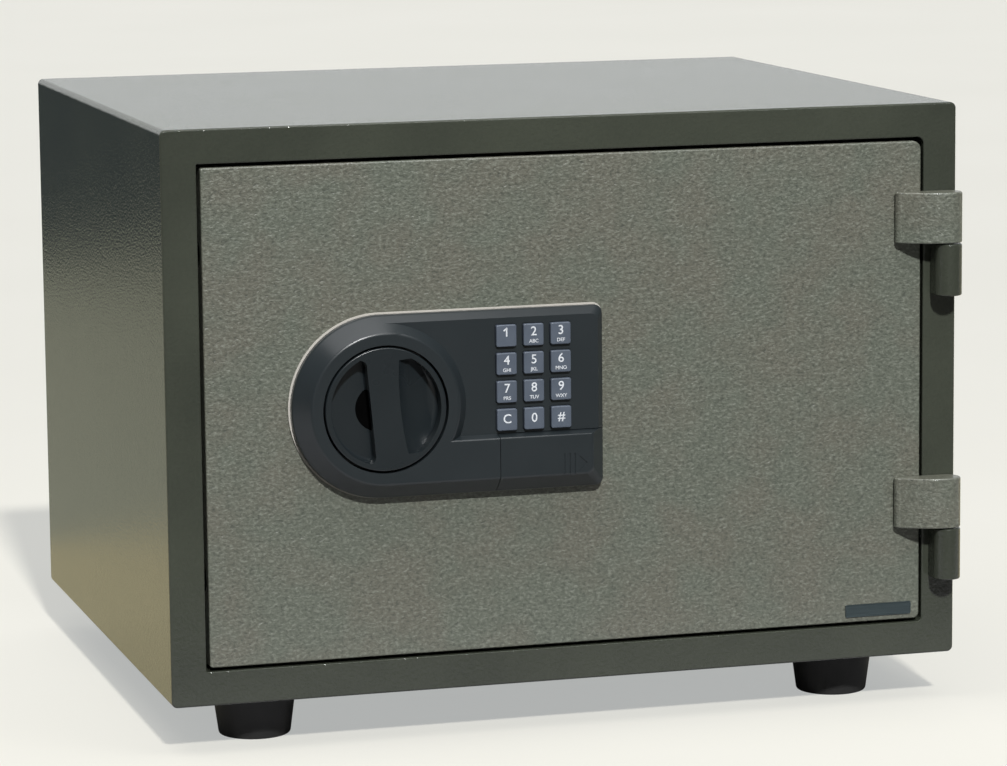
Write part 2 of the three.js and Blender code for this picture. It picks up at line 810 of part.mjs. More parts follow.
boltHeights.forEach((z, i) => {
  place(door, `fixed_bolt_${pairNames[i]}`, fixedBolt(), chromeSteel).position.set(0, fixedBoltDepth, z);
  place(door, `live_bolt_${pairNames[i]}`, liveBolt(), chromeSteel).position.set(0, boltDepth, z);
});

// Bolt bar: an angle that carries both bolts, with an arm to the cam's follower pin
function boltBar() {
  const y0 = boltDepth - barWidth / 2;
  const upright = box(
    barX, barX + barWall, y0, y0 + barWidth, boltHeights[0] - barEnd, boltHeights[1] + barEnd);
  const armEnd = followerX + followerRadius + armPastFollower;
  const arm = box(barX, armEnd, armFront, armFront + armWall, knobZ - armHeight / 2, armTop);
  const follower = alongY(followerRadius, camFront - followerTipGap, armFront + over, followerX, knobZ, 20);
  const notchX = plungerX + boltThrow;
  const notchHalf = plungerRadius + notchGap;
  const notch = box(
    notchX - notchHalf, notchX + notchHalf, 0, panelDepth, armTop - notchDepth, armTop + over);
  return cut(join(upright, arm, follower), notch);
}

// Guide plate: holds the bolts square behind the panel's edge
function boltGuide() {
  const x = panelLeft + guideFromEdge;
  const front = panelWall + seat;
  const z0 = boltHeights[0] - boltRadius - guidePastBolt;
  const z1 = boltHeights[1] + boltRadius + guidePastBolt;
  const plate = box(x, x + guideWall, front, lockworkBack, z0, z1);
  const foldedFoot = box(x - guideFoot, x + guideWall, front, front + guideWall, z0, z1);
  const holes = boltHeights.map((z) =>
    alongX(boltRadius + boltBore / 2, x - guideFoot - over, x + guideWall + over, boltDepth, z, 24));
  return cut(join(plate, foldedFoot), ...holes);
}

place(door, 'bolt_bar', boltBar(), bareSteel);
place(door, 'bolt_guide', boltGuide(), bareSteel);

// Spiral slot: its distance from the spindle grows evenly with the turn, so the bar moves evenly
function spiralSlot(halfWidth) {
  const turn = THREE.MathUtils.degToRad(knobTurn);
  const spare = THREE.MathUtils.degToRad(camSpareTurn);
  const outer = [];
  const inner = [];
  const ends = [];
  for (let step = 0; step <= camSlotSteps; step++) {
    const angle = -spare + (turn + 2 * spare) * step / camSlotSteps;
    const r = camSlotStart + spiralRate * angle;
    const polar = Math.PI - angle;
    const centre = new THREE.Vector2(r * Math.cos(polar), r * Math.sin(polar));
    const heading = new THREE.Vector2(
      spiralRate * Math.cos(polar) + r * Math.sin(polar),
      spiralRate * Math.sin(polar) - r * Math.cos(polar)).normalize();
    const side = new THREE.Vector2(-heading.y, heading.x).multiplyScalar(halfWidth);
    outer.push(centre.clone().add(side));
    inner.push(centre.clone().sub(side));
    if (step === 0 || step === camSlotSteps) ends.push(centre);
  }
  const y0 = camFront - over;
  const y1 = camFront + camWall + over;
  const slot = prismFront(new THREE.Shape([...outer, ...inner.reverse()]), y1, y0);
  return join(slot, ...ends.map((end) => alongY(halfWidth, y0, y1, end.x, end.y, 20)));
}

// Spindle with the cam plate, drawn round the knob's own axis
function knobSpindle() {
  const shaft = alongY(spindleRadius, -spindleTopLevel, camFront + camWall + spindleTail, 0, 0, 20);
  const plate = alongY(camRadius, camFront, camFront + camWall, 0, 0, 40);
  return join(shaft, cut(plate, spiralSlot(followerRadius + slotGap)));
}

// Finger scoop: a segment of a circle beside the grip, with rounded corners
function scoop(side) {
  const chord = gripWidth / 2;
  const half = Math.acos((chord + scoopCorner) / (scoopRadius - scoopCorner));
  const inner = scoopRadius - scoopCorner;
  const cornerZ = inner * Math.sin(half);
  const shape = new THREE.Shape();
  shape.moveTo(chord, -cornerZ);
  shape.absarc(chord + scoopCorner, -cornerZ, scoopCorner, Math.PI, 2 * Math.PI - half, false);
  shape.absarc(0, 0, scoopRadius, -half, half, false);
  shape.absarc(chord + scoopCorner, cornerZ, scoopCorner, half, Math.PI, false);
  const cutter = prismFront(shape, -scoopFloorLevel, -housingTopLevel - clear, scoopFloorRound, 6);
  return side > 0 ? cutter : cutter.rotate([0, 180, 0]);
}

// Knob: a disc with a scoop each side of the grip, a round pocket under the grip and a hub
function knob() {
  const disc = roundedDisc(knobRadius, -knobBackLevel, -housingTopLevel, knobEdgeRound);
  const hub = alongY(hubRadius, -knobBackLevel - over, -hubBackLevel, 0, 0, 24);
  const pocket = cut(
    alongY(pocketRadius, -pocketRoofLevel, -pocketFloorLevel, 0, 0, 32),
    alongY(hubRadius, -pocketRoofLevel - over, -pocketFloorLevel + over, 0, 0, 24));
  const bore = alongY(spindleRadius + spindleBoreGap, -spindleTopLevel - spindleEndGap, over, 0, 0, 20);
  return cut(join(disc, hub), scoop(1), scoop(-1), pocket, bore);
}

// A disc whose front edge is rounded
function roundedDisc(radius, yBack, yFront, round) {
  const height = yBack - yFront;
  const halfway = round * (1 - Math.SQRT1_2);
  const geometry = turned([
    [0, 0], [radius, 0], [radius, height - round], [radius - halfway, height - halfway],
    [radius - round, height], [0, height],
  ], 48);
  geometry.rotateX(Math.PI / 2);
  geometry.translate(0, yBack, 0);
  return solid(geometry);
}

place(door, 'knob', knob(), blackPlastic).position.set(knobX, 0, knobZ);
place(door, 'knob_spindle', knobSpindle(), bareSteel).position.set(knobX, 0, knobZ);

// Solenoid: a block on the panel's inner face, bored for its plunger
const solenoidBottom = plungerTip + solenoidLift;
const boreTop = solenoidBottom + solenoidHeight - solenoidTopWall;

function solenoid() {
  const front = panelWall + seat;
  const back = 2 * armDepth - front;
  const block = box(
    plungerX - solenoidWidth / 2, plungerX + solenoidWidth / 2, front, back,
    solenoidBottom, solenoidBottom + solenoidHeight);
  return cut(block, alongZ(
    plungerRadius + plungerBoreGap, solenoidBottom - over, boreTop, plungerX, armDepth, 20));
}

function solenoidPlunger() {
  const top = boreTop - plungerPull - plungerTopGap;
  const rod = alongZ(plungerRadius, plungerTip, top, plungerX, armDepth, 20);
  const collarZ = plungerTip + collarFromTip;
  return join(
    rod, alongZ(plungerRadius + collarReach, collarZ, collarZ + collarWall, plungerX, armDepth, 20));
}

place(door, 'solenoid', solenoid(), bareSteel);
place(door, 'solenoid_plunger', solenoidPlunger(), chromeSteel);

// Lock housing outline: a half circle round the knob and two small corners, inset by a distance
function housingOutline(inset) {
  const radius = housingHeight / 2 - inset;
  const corner = Math.max(housingCorner - inset, smallestCorner);
  const right = housingRight - inset;
  const points = [];
  const arcs = [
    [right - corner, knobZ - radius + corner, corner, -90, 90, 5],
    [right - corner, knobZ + radius - corner, corner, 0, 90, 5],
    [knobX, knobZ, radius, 90, 180, 36],
  ];
  for (const [x, z, r, start, sweep, steps] of arcs) {
    for (let step = 0; step <= steps; step++) {
      const angle = THREE.MathUtils.degToRad(start + sweep * step / steps);
      points.push(new THREE.Vector2(x + r * Math.cos(angle), z + r * Math.sin(angle)));
    }
  }
  return points;
}

// The whole domed form: an upright wall, then a sloping rim; grown inwards for its inner side
function housingForm(inset, backLevel) {
  return loft([
    { points: housingOutline(inset), y: -backLevel },
    { points: housingOutline(inset), y: -housingWallLevel + inset * rimWallShift },
    { points: housingOutline(inset + rimInset), y: -housingTopLevel + inset },
  ]);
}

// Space of the sunken keypad field, which leaves the ring round the knob standing
function keypadField() {
  const field = prismX([
    [-keypadLevel, keypadBottom], [-housingTopLevel, stripTop], [-housingTopLevel - clear, stripTop],
    [-housingTopLevel - clear, knobZ + housingHeight], [-keypadLevel, knobZ + housingHeight],
  ].reverse(), knobX, housingRight + clear);
  const ring = alongY(
    housingHeight / 2 - rimInset, -housingTopLevel, -housingWallLevel, knobX, knobZ, 72, housingHeight / 2);
  return cut(field, ring);
}

// Space of the battery cover, up to the step of the keypad field
function coverSpace(x0, grow) {
  const top = keypadBottom + grow;
  const slopeTop = stripTop + grow;
  return prismX([
    [over, housingBottom - clear], [over, top], [-keypadLevel, top], [-housingTopLevel, slopeTop],
    [-housingTopLevel - clear, slopeTop], [-housingTopLevel - clear, housingBottom - clear],
  ].reverse(), x0, housingRight + clear);
}

const keyPlaces = [];
for (let row = 0; row < keyRows; row++) {
  for (let column = 0; column < keyColumns; column++) {
    keyPlaces.push([
      keypadX + (column - (keyColumns - 1) / 2) * keyPitchX,
      keypadZ - (row - (keyRows - 1) / 2) * keyPitchZ,
    ]);
  }
}

function keyOutline(x, z, grow) {
  return roundedRectangle(
    x - keyWidth / 2 - grow, x + keyWidth / 2 + grow, z - keyHeight / 2 - grow, z + keyHeight / 2 + grow,
    keyCorner + grow, 2);
}

function lockHousing() {
  const well = alongY(knobWellRadius, -housingTopLevel - over, -wellFloorLevel, knobX, knobZ, 48);
  const hubHole = alongY(hubRadius + hubHoleGap, -wellFloorLevel - over, over, knobX, knobZ, 32);
  const keyRoom = box(
    keypadX - keypadHalfX - boardMargin, keypadX + keypadHalfX + boardMargin, -keypadBackLevel, over,
    keypadZ - keypadHalfZ - keyGap, keypadZ + keypadHalfZ + keyFlangeReach);
  const keyHoles = keyPlaces.map(([x, z]) => loft([
    { points: keyOutline(x, z, keyGap), y: -keypadBackLevel + over },
    { points: keyOutline(x, z, keyGap), y: -keypadLevel - over },
  ]));
  return cut(
    housingForm(0, seat), keypadField(), coverSpace(coverX - coverGap, coverGap), well, hubHole, keyRoom,
    ...keyHoles);
}

// Battery cover: its part of the housing's form as a shell, open at the left, so that it slides off
function batteryCover() {
  const outside = housingForm(0, seat).intersect(coverSpace(coverX, 0));
  const inside = housingForm(coverWall, -over).intersect(coverSpace(coverX - clear, -coverWall));
  return cut(outside, inside);
}

place(door, 'lock_housing', lockHousing(), blackPlastic);
place(door, 'battery_cover', batteryCover(), blackPlastic);

// Key: a cap through the keypad field, a flange behind it and a stem over its switch
const boardFrontLevel = boardBackLevel + boardWall;
const flangeBackLevel = keypadBackLevel - seat - keyFlangeWall;

function key() {
  const topLevel = keypadLevel + keyProud;
  const sections = [
    { points: keyOutline(0, 0, 0), y: -flangeBackLevel },
    { points: keyOutline(0, 0, 0), y: -topLevel + keyEdgeRound },
    { points: keyOutline(0, 0, -keyEdgeRound), y: -topLevel },
  ];
  const flange = box(
    -keyWidth / 2 - keyFlangeReach, keyWidth / 2 + keyFlangeReach, -flangeBackLevel - keyFlangeWall,
    -flangeBackLevel, -keyHeight / 2, keyHeight / 2);
  const stemLevel = boardFrontLevel + domeHeight + keyTravel + keyStemGap;
  const stem = alongY(keyStemRadius, -flangeBackLevel - keyFlangeWall / 2, -stemLevel, 0, 0, 8);
  return join(loft(sections), flange, stem);
}

const keyNames = ['1', '2', '3', '4', '5', '6', '7', '8', '9', 'clear', '0', 'hash'];
keyPlaces.forEach(([x, z], i) => {
  place(door, `key_${keyNames[i]}`, key(), keyPlastic).position.set(x, 0, z);
});

// Keypad board with a dome switch under each key
function keypadBoard() {
  const plate = box(
    keypadX - keypadHalfX - boardMargin + seat, keypadX + keypadHalfX + boardMargin - seat,
    -boardFrontLevel, -boardBackLevel,
    keypadZ - keypadHalfZ, keypadZ + keypadHalfZ + keyFlangeReach - seat);
  const domes = keyPlaces.map(([x, z]) =>
    alongY(
      domeRadius, -boardFrontLevel - domeHeight, -boardFrontLevel + domeHeight / 2, x, z, 8,
      domeRadius * domeTopShare));
  return join(plate, ...domes);
}

place(door, 'keypad_board', keypadBoard(), boardGreen);

// Battery tray: a deep cup through the panel, for two rows of two cells
function batteryTray() {
  const outside = trayRoom(0, -trayFrontLevel, trayFloorY + trayWall);
  const inside = trayRoom(-trayWall, -trayFrontLevel - over, trayFloorY);
  return cut(outside, inside);
}

function cell() {
  const sleeveEnd = cellLength - nubHeight;
  return turned([
    [0, 0], [cellRadius, 0], [cellRadius, sleeveEnd], [nubRadius, sleeveEnd], [nubRadius, cellLength],
    [0, cellLength],
  ], 12).rotateY(Math.PI / 2);
}

place(door, 'battery_tray', batteryTray(), blackPlastic);
for (let row = 0; row < cellRows; row++) {
  for (let layer = 0; layer < 2; layer++) {
    place(door, `cell_${row * 2 + layer + 1}`, cell(), cellSleeve).position.set(
      trayInsideLeft + cellEndRoom / 2,
      trayFloorY - cellGap - cellRadius - layer * cellPitch,
      trayInsideBottom + cellGap + cellRadius + row * cellPitch);
  }
}

export default safe;
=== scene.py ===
import math

import bmesh
import bpy
from mathutils import Euler, Matrix, Vector

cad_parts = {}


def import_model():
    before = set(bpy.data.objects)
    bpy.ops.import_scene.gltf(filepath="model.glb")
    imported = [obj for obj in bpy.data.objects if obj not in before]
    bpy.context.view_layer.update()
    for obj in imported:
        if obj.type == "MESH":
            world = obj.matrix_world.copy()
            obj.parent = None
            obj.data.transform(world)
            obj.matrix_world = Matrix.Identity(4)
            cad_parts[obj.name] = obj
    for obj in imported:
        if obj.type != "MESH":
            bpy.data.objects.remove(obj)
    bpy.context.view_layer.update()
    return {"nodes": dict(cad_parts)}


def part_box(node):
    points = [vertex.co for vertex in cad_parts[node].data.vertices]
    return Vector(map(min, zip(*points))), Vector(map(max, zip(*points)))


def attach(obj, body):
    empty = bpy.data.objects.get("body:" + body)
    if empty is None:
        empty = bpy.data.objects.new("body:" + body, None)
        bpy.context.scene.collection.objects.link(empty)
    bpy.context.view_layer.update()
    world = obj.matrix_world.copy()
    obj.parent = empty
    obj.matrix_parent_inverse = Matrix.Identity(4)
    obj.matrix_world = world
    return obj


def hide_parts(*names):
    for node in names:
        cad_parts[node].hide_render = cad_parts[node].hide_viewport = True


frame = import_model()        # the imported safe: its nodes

# Lengths are typed in millimetres from the cabinet's front face: x from its middle to the right,
# y into the cabinet and z up from its bottom. The floor lies a foot's height below that.
mm = 0.001
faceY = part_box("front_frame")[0].y
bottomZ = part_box("outer_shell")[0].z


def spot(x, y, z):
    return Vector((x * mm, faceY + y * mm, bottomZ + z * mm))


def inMm(point):
    return Vector((point.x, point.y - faceY, point.z - bottomZ)) / mm


# Handling of pieces

def deselectAll():
    if bpy.context.object and bpy.context.object.mode != "OBJECT":
        bpy.ops.object.mode_set(mode="OBJECT")
    bpy.ops.object.select_all(action="DESELECT")


def makeActive(piece):
    deselectAll()
    piece.select_set(True)
    bpy.context.view_layer.objects.active = piece


def settle(name):
    # The new object's place, turn and size go into its mesh
    piece = bpy.context.object
    piece.name = piece.data.name = name
    bpy.ops.object.transform_apply(location=True, rotation=True, scale=True)
    return piece


def addBox(name, low, high):
    deselectAll()
    a, b = spot(*low), spot(*high)
    bpy.ops.mesh.primitive_cube_add(size=1, location=(a + b) / 2)
    bpy.context.object.scale = b - a
    return settle(name)


def addPlate(name, low, high):
    # An upright flat rectangle that faces the back
    deselectAll()
    a, b = spot(*low), spot(*high)
    bpy.ops.mesh.primitive_plane_add(size=1, location=(a + b) / 2, rotation=(-math.pi / 2, 0, 0))
    bpy.context.object.scale = (b.x - a.x, b.z - a.z, 1)
    return settle(name)


alongAxis = {"x": (0, math.pi / 2, 0), "y": (math.pi / 2, 0, 0)}


def addRod(name, radius, start, end, axis, sides=64, spin=0.0):
    deselectAll()
    a, b = spot(*start), spot(*end)
    turn = Euler(alongAxis[axis]).to_matrix() @ Matrix.Rotation(math.radians(spin), 3, "Z")
    bpy.ops.mesh.primitive_cylinder_add(
        vertices=sides, radius=radius * mm, depth=(b - a).length, location=(a + b) / 2,
        rotation=turn.to_euler())
    return settle(name)


def addCone(name, radiusStart, radiusEnd, start, end, sides=64):
    # radiusStart is at start; the cone runs along y or z
    deselectAll()
    a, b = spot(*start), spot(*end)
    bpy.ops.mesh.primitive_cone_add(
        vertices=sides, radius1=radiusStart * mm, radius2=radiusEnd * mm, depth=(b - a).length,
        location=(a + b) / 2)
    bpy.context.object.rotation_euler = (b - a).to_track_quat("Z", "Y").to_euler()
    return settle(name)


def addRodAlongX(name, radius, start, end, y, z):
    return addRod(name, radius, (start, y, z), (end, y, z), "x")


def addKnobRod(name, radius, front, back, sides, aside=0.0, spin=0.0):
    # A rod round the knob's axis, or beside it; front and back are heights above the door's face
    x = knobX + aside
    return addRod(name, radius, (x, -front, knobZ), (x, -back, knobZ), "y", sides, spin)


def edit(piece):
    # Starts edit mode, which ends when deselectAll or makeActive runs
    makeActive(piece)
    bpy.ops.object.mode_set(mode="EDIT")
    bpy.ops.mesh.select_all(action="DESELECT")


def pickAll():
    bpy.ops.mesh.select_all(action="SELECT")


def mergePoints(reach=0.01):
    pickAll()
    bpy.ops.mesh.remove_doubles(threshold=reach * mm)


def faceOut():
    pickAll()
    bpy.ops.mesh.normals_make_consistent(inside=False)


def pick(piece, kind, parts, facts, test):
    # Selects the faces, edges or points whose facts pass the test
    edit(piece)
    bpy.ops.mesh.select_mode(type=kind)
    form = bmesh.from_edit_mesh(piece.data)
    for part in getattr(form, parts):
        if test(*facts(part)):
            part.select_set(True)
    bmesh.update_edit_mesh(piece.data)


def pickFaces(piece, test):
    # The test takes the middle of a face and the way that it faces
    pick(piece, "FACE", "faces", lambda face: (inMm(face.calc_center_median()), face.normal), test)


def pickEdges(piece, test):
    # The test takes both ends of an edge
    pick(piece, "EDGE", "edges", lambda edge: [inMm(vertex.co) for vertex in edge.verts], test)


def pickPoints(piece, test):
    pick(piece, "VERT", "verts", lambda vertex: [inMm(vertex.co)], test)


def before(y):
    # Tests for edges: in front of a depth, behind it, or longer than this from front to back
    return lambda a, b: max(a.y, b.y) < y


def behind(y):
    return lambda a, b: min(a.y, b.y) > y


def runsBack(length):
    return lambda a, b: abs(a.y - b.y) > length


def dropFaces(piece, test):
    pickFaces(piece, test)
    bpy.ops.mesh.delete(type="FACE")


def roundEdges(piece, width, segments, test):
    pickEdges(piece, test)
    bpy.ops.mesh.bevel(offset=width * mm, segments=segments, profile=0.5, affect="EDGES")


def extrude(x, y, z):
    bpy.ops.mesh.extrude_region_move(TRANSFORM_OT_translate={"value": (x * mm, y * mm, z * mm)})


def move(x, y, z):
    bpy.ops.transform.translate(value=(x * mm, y * mm, z * mm))


def stretch(x, y, z, centre):
    bpy.ops.transform.resize(value=(x, y, z), center_override=spot(*centre))


def inset(width):
    bpy.ops.mesh.inset(thickness=width * mm, depth=0.0, use_even_offset=True)


def applyModifiers(piece):
    makeActive(piece)
    for name in [modifier.name for modifier in piece.modifiers]:
        bpy.ops.object.modifier_apply(modifier=name)


def carve(piece, *tools, operation="DIFFERENCE"):
    for tool in tools:
        modifier = piece.modifiers.new("carve", "BOOLEAN")
        modifier.operation = operation
        modifier.solver = "EXACT"
        modifier.object = tool
        applyModifiers(piece)
        bpy.data.objects.remove(tool)


def thicken(piece, wall):
    modifier = piece.modifiers.new("wall", "SOLIDIFY")
    modifier.thickness = wall * mm
    modifier.offset = -1
    modifier.use_even_offset = True
    applyModifiers(piece)


def copyOf(piece, name, shift=(0, 0, 0)):
    twin = piece.copy()
    twin.data = piece.data.copy()
    twin.name = twin.data.name = name
    twin.data.transform(Matrix.Translation(Vector(shift) * mm))
    bpy.context.scene.collection.objects.link(twin)
    return twin


def soften(piece, width, segments=2, angle=30):
    # Small rounds on every sharp edge, and flat faces that shade flat
    makeActive(piece)
    if width:
        modifier = piece.modifiers.new("edges", "BEVEL")
        modifier.width = width * mm
        modifier.segments = segments
        modifier.limit_method = "ANGLE"
        modifier.angle_limit = math.radians(angle)
        modifier.use_clamp_overlap = True
        applyModifiers(piece)
    bpy.ops.object.shade_smooth_by_angle(angle=math.radians(35))
    modifier = piece.modifiers.new("flats", "WEIGHTED_NORMAL")
    modifier.keep_sharp = True
    applyModifiers(piece)


def finishPiece(piece, material, body, slot, *replaced):
    piece.data.materials.clear()
    piece.data.materials.append(material)
    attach(piece, body)
    if replaced:
        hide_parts(*replaced)


# Materials

def linear(colour):
    # An sRGB hex value as the linear colour that a shader takes
    channels = [int(colour[i:i + 2], 16) / 255 for i in (1, 3, 5)]
    return [c / 12.92 if c <= 0.04045 else ((c + 0.055) / 1.055) ** 2.4 for c in channels] + [1.0]


def addNode(material, kind, settings, links):
    node = material.node_tree.nodes.new("ShaderNode" + kind)
    for name, value in settings.items():
        if isinstance(name, str) and hasattr(node, name):
            setattr(node, name, value)
        else:
            node.inputs[name].default_value = value
    for name, source in links.items():
        material.node_tree.links.new(source, node.inputs[name])
    return node


def newMaterial(name, roughness, metallic=0.0):
    material = bpy.data.materials.new(name)
    material.use_nodes = True
    shader = material.node_tree.nodes["Principled BSDF"]
    shader.inputs["Roughness"].default_value = roughness
    shader.inputs["Metallic"].default_value = metallic
    place = addNode(material, "TexCoord", {}, {}).outputs["Object"]
    return material, shader, place


def feed(material, shader, **sources):
    # Joins finished chains to the shader's sockets: Base_Color, Roughness, Normal and so on
    for name, source in sources.items():
        material.node_tree.links.new(source, shader.inputs[name.replace("_", " ")])


def noise(material, place, width, detail, **more):
    # Soft noise whose spots are about as wide as the given millimetres
    settings = {"Scale": 1 / (width * mm), "Detail": detail, **more}
    return addNode(material, "TexNoise", settings, {"Vector": place}).outputs["Fac"]


def spread(material, source, fromLow, fromHigh, low=0.0, high=1.0):
    # A value between fromLow and fromHigh becomes one between low and high
    settings = {"From Min": fromLow, "From Max": fromHigh, "To Min": low, "To Max": high}
    return addNode(material, "MapRange", settings, {"Value": source}).outputs["Result"]


def blendColours(material, share, first, second):
    # Each colour is a hex value or another node's output
    settings, links = {"data_type": "RGBA"}, {0: share}
    for socket, colour in ((6, first), (7, second)):
        if isinstance(colour, str):
            settings[socket] = linear(colour)
        else:
            links[socket] = colour
    return addNode(material, "Mix", settings, links).outputs[2]


def relief(material, height, depth, strength=1.0, **under):
    # Bump as deep as the given millimetres, on top of another one where Normal is given
    settings = {"Strength": strength, "Distance": depth * mm}
    return addNode(material, "Bump", settings, {"Height": height, **under}).outputs["Normal"]


bodyPaintLook = {
    "dark": "#363a32", "pale": "#43473d", "cloud": 71.43, "peel": 1.4, "peelDepth": 0.25, "ripple": 7.0,
    "rippleDepth": 0.1, "roughness": 0.12}


def makeBodyPaint():
    # Powder coat on steel sheet, sprayed and baked: glossy, with an orange peel that breaks up what
    # it mirrors into fine grains. The real grains of 0.5 mm are drawn 1.4 mm wide so that they show
    look = bodyPaintLook
    material, shader, place = newMaterial("powderCoatOlive", look["roughness"])
    peel = noise(material, place, look["peel"], 2.0, Roughness=0.55)
    ripple = noise(material, place, look["ripple"], 1.0)
    cloud = noise(material, place, look["cloud"], 3.0)
    # A third of the peel shows in the colour, on a wide and faint drift
    grain = addNode(material, "Math", {"operation": "MULTIPLY_ADD", 1: 0.3}, {0: peel, 2: cloud})
    share = spread(material, grain.outputs["Value"], 0.4, 0.9)
    gloss = spread(material, cloud, 0.3, 0.7, look["roughness"] * 0.95, look["roughness"] * 1.1)
    wide = relief(material, ripple, look["rippleDepth"], 0.5)
    feed(material, shader, Base_Color=blendColours(material, share, look["dark"], look["pale"]),
         Roughness=gloss, Normal=relief(material, peel, look["peelDepth"], Normal=wide))
    return material


# Two of these colours paint light on the wrinkles: a painted highlight on their crests and a painted
# shade in their pits
doorPaintLook = {
    "green": "#62675c", "tan": "#66665b", "crestHighlight": "#8c9085", "pitShade": "#444841", "patch": 30.0,
    "grain": 1.6, "wrinkle": 5.0, "sag": (0.85, 1.0, 1.2), "grainDepth": 0.42, "wrinkleDepth": 0.3,
    "roughness": 0.42, "coat": 0.5, "coatRoughness": 0.2}


def makeDoorPaint():
    # Hammertone enamel, sprayed and baked: silicone in it draws the film into fine wrinkles about
    # 1.5 mm wide, and its metal flake drifts into faint green and tan patches
    look = doorPaintLook
    material, shader, place = newMaterial("hammertoneGrey", look["roughness"])
    # The clear top of the film makes its edges shine
    shader.inputs["Coat Weight"].default_value = look["coat"]
    shader.inputs["Coat Roughness"].default_value = look["coatRoughness"]
    # The film sags a little before it sets, so the wrinkles lie rather flat
    flat = addNode(material, "Mapping", {"Scale": look["sag"]}, {"Vector": place}).outputs["Vector"]
    fine = noise(material, flat, look["grain"], 2.0, Roughness=0.55, Distortion=0.3)
    wide = noise(material, flat, look["wrinkle"], 1.5)
    patch = spread(material, noise(material, place, look["patch"], 3.0), 0.38, 0.62)
    ground = blendColours(material, patch, look["green"], look["tan"])
    # Painted highlight on the crests and painted shade in the pits: the colour follows the height of the
    # fine wrinkles
    crestHighlightShare = spread(material, fine, 0.52, 0.74, 0.0, 0.6)
    pitShadeShare = spread(material, fine, 0.47, 0.28, 0.0, 0.7)
    highlightedGround = blendColours(material, crestHighlightShare, ground, look["crestHighlight"])
    hills = relief(material, wide, look["wrinkleDepth"])
    feed(material, shader, Base_Color=blendColours(material, pitShadeShare, highlightedGround, look["pitShade"]),
         Normal=relief(material, fine, look["grainDepth"], Normal=hills))
    return material


def makeGrained(name, dark, pale, grain, depth, roughness, strength=0.4, cloud=40):
    # A plain moulded, cast or coated surface: a soft drift of colour and a grain of the given width
    material, shader, place = newMaterial(name, roughness)
    drift = noise(material, place, cloud, 3.0)
    gloss = spread(material, drift, 0.3, 0.7, roughness * 0.88, roughness * 1.12)
    feed(material, shader, Base_Color=blendColours(material, drift, dark, pale), Roughness=gloss,
         Normal=relief(material, noise(material, place, grain, 2.0), depth, strength))
    return material


def makeBrushed(name, dark, pale, along, roughness):
    # Rolled or ground metal: fine lines along one axis, 0.8 mm apart, which stretch its highlights
    material, shader, place = newMaterial(name, roughness, 1.0)
    stretch = [30.0 if axis != along else 1.0 for axis in "xyz"]
    lines = addNode(material, "Mapping", {"Scale": stretch}, {"Vector": place}).outputs["Vector"]
    streak = noise(material, lines, 25.0, 3.0)
    gloss = spread(material, streak, 0.0, 1.0, roughness * 0.8, roughness * 1.3)
    feed(material, shader, Base_Color=blendColours(material, streak, dark, pale), Roughness=gloss,
         Normal=relief(material, streak, 0.02, 0.15))
    return material


bodyPaint = makeBodyPaint()
doorPaint = makeDoorPaint()
# Powder coat inside the safe: thin, flat and pale, so that papers are seen against it
linerPaint = makeGrained("powderCoatPaleGrey", "#83847d", "#8f9089", 1.2, 0.08, 0.45)
# Moulded ABS: satin black with a fine spark-eroded grain
lockPlastic = makeGrained("mouldedAbsBlack", "#22282b", "#262c2f", 0.5, 0.02, 0.32)
# The knob is moulded from the same ABS, worn a little smoother by fingers
knobPlastic = makeGrained("mouldedAbsKnob", "#1c2225", "#202629", 0.5, 0.015, 0.28)
# Moulded keys: matt blue-grey ABS
keyPlastic = makeGrained("mouldedAbsKeys", "#4f5763", "#5c6572", 0.5, 0.02, 0.42, cloud=8)
# Pad-printed white ink: thin, flat and slightly chalky
legendInk = makeGrained("padPrintWhite", "#d4d9de", "#e4e8ec", 0.4, 0.01, 0.55, cloud=6)
# Moulded rubber: black, matt and a little dusty
footRubber = makeGrained("mouldedRubber", "#121212", "#1f1f1e", 0.8, 0.05, 0.72)
# Painted shade: a near-black pad with hardly any shine lines the hollow under the knob's grip, so that
# the hollow looks as black as deep shade
hollowShadeBlack = makeGrained("paintedHollowShade", "#010101", "#030303", 0.6, 0.03, 0.9, cloud=5)
hollowShadeBlack.node_tree.nodes["Principled BSDF"].inputs["Specular IOR Level"].default_value = 0.05
# Painted highlight: a pale grey strip under the lock's edge, dull and even, that stands in for the bright
# line along its left and top edges
highlightStripPale = makeGrained("paintedEdgeHighlight", "#b9b5ad", "#c6c2ba", 0.6, 0.03, 0.8, cloud=15)
# Cast vermiculite filling: pale, dry and crumbly
insulation = makeGrained("castVermiculite", "#b9b3a3", "#d6d0c2", 2.2, 0.9, 0.95, strength=0.8, cloud=9)
# Glass-fibre circuit board with green solder resist
boardResist = makeGrained("solderResistGreen", "#174a30", "#21603e", 1.0, 0.02, 0.35)
# Shrunk plastic sleeve of a battery cell
cellSleeve = makeGrained("shrinkSleeveBlue", "#22335c", "#2f447a", 1.0, 0.02, 0.25)
# Zinc-plated steel: pressed and turned small parts
zincSteel = makeBrushed("zincPlatedSteel", "#9c9fa2", "#bcbfc1", "z", 0.38)
# Chromed bolt steel: ground round and plated
chromeSteel = makeBrushed("chromedSteel", "#c3c6c9", "#d9dcde", "z", 0.12)
# Rolled and anodised aluminium plate, left bare
plateAluminium = makeBrushed("anodisedAluminiumDark", "#4b5658", "#5b676a", "x", 0.35)
print("materials made")


# Cabinet

cabinet = {
    "halfWidth": 206.0, "height": 285.0, "depth": 335.0, "sheet": 1.6, "edgeRadius": 3.0,
    "frontRound": 1.2, "openingHalfWidth": 188.3, "openingHalfHeight": 125.3, "landDepth": 31.0,
    "jambRound": 0.8, "openingCorners": (0.7, 1.0, 2.4, 3.4), "cavityHalfWidth": 161.0,
    "cavityHalfHeight": 97.5, "returnDepth": 14.0, "cavityBack": 290.0, "linerGap": 0.3,
    "linerWall": 1.2, "linerCorner": 5.0}
middleZ = cabinet["height"] / 2


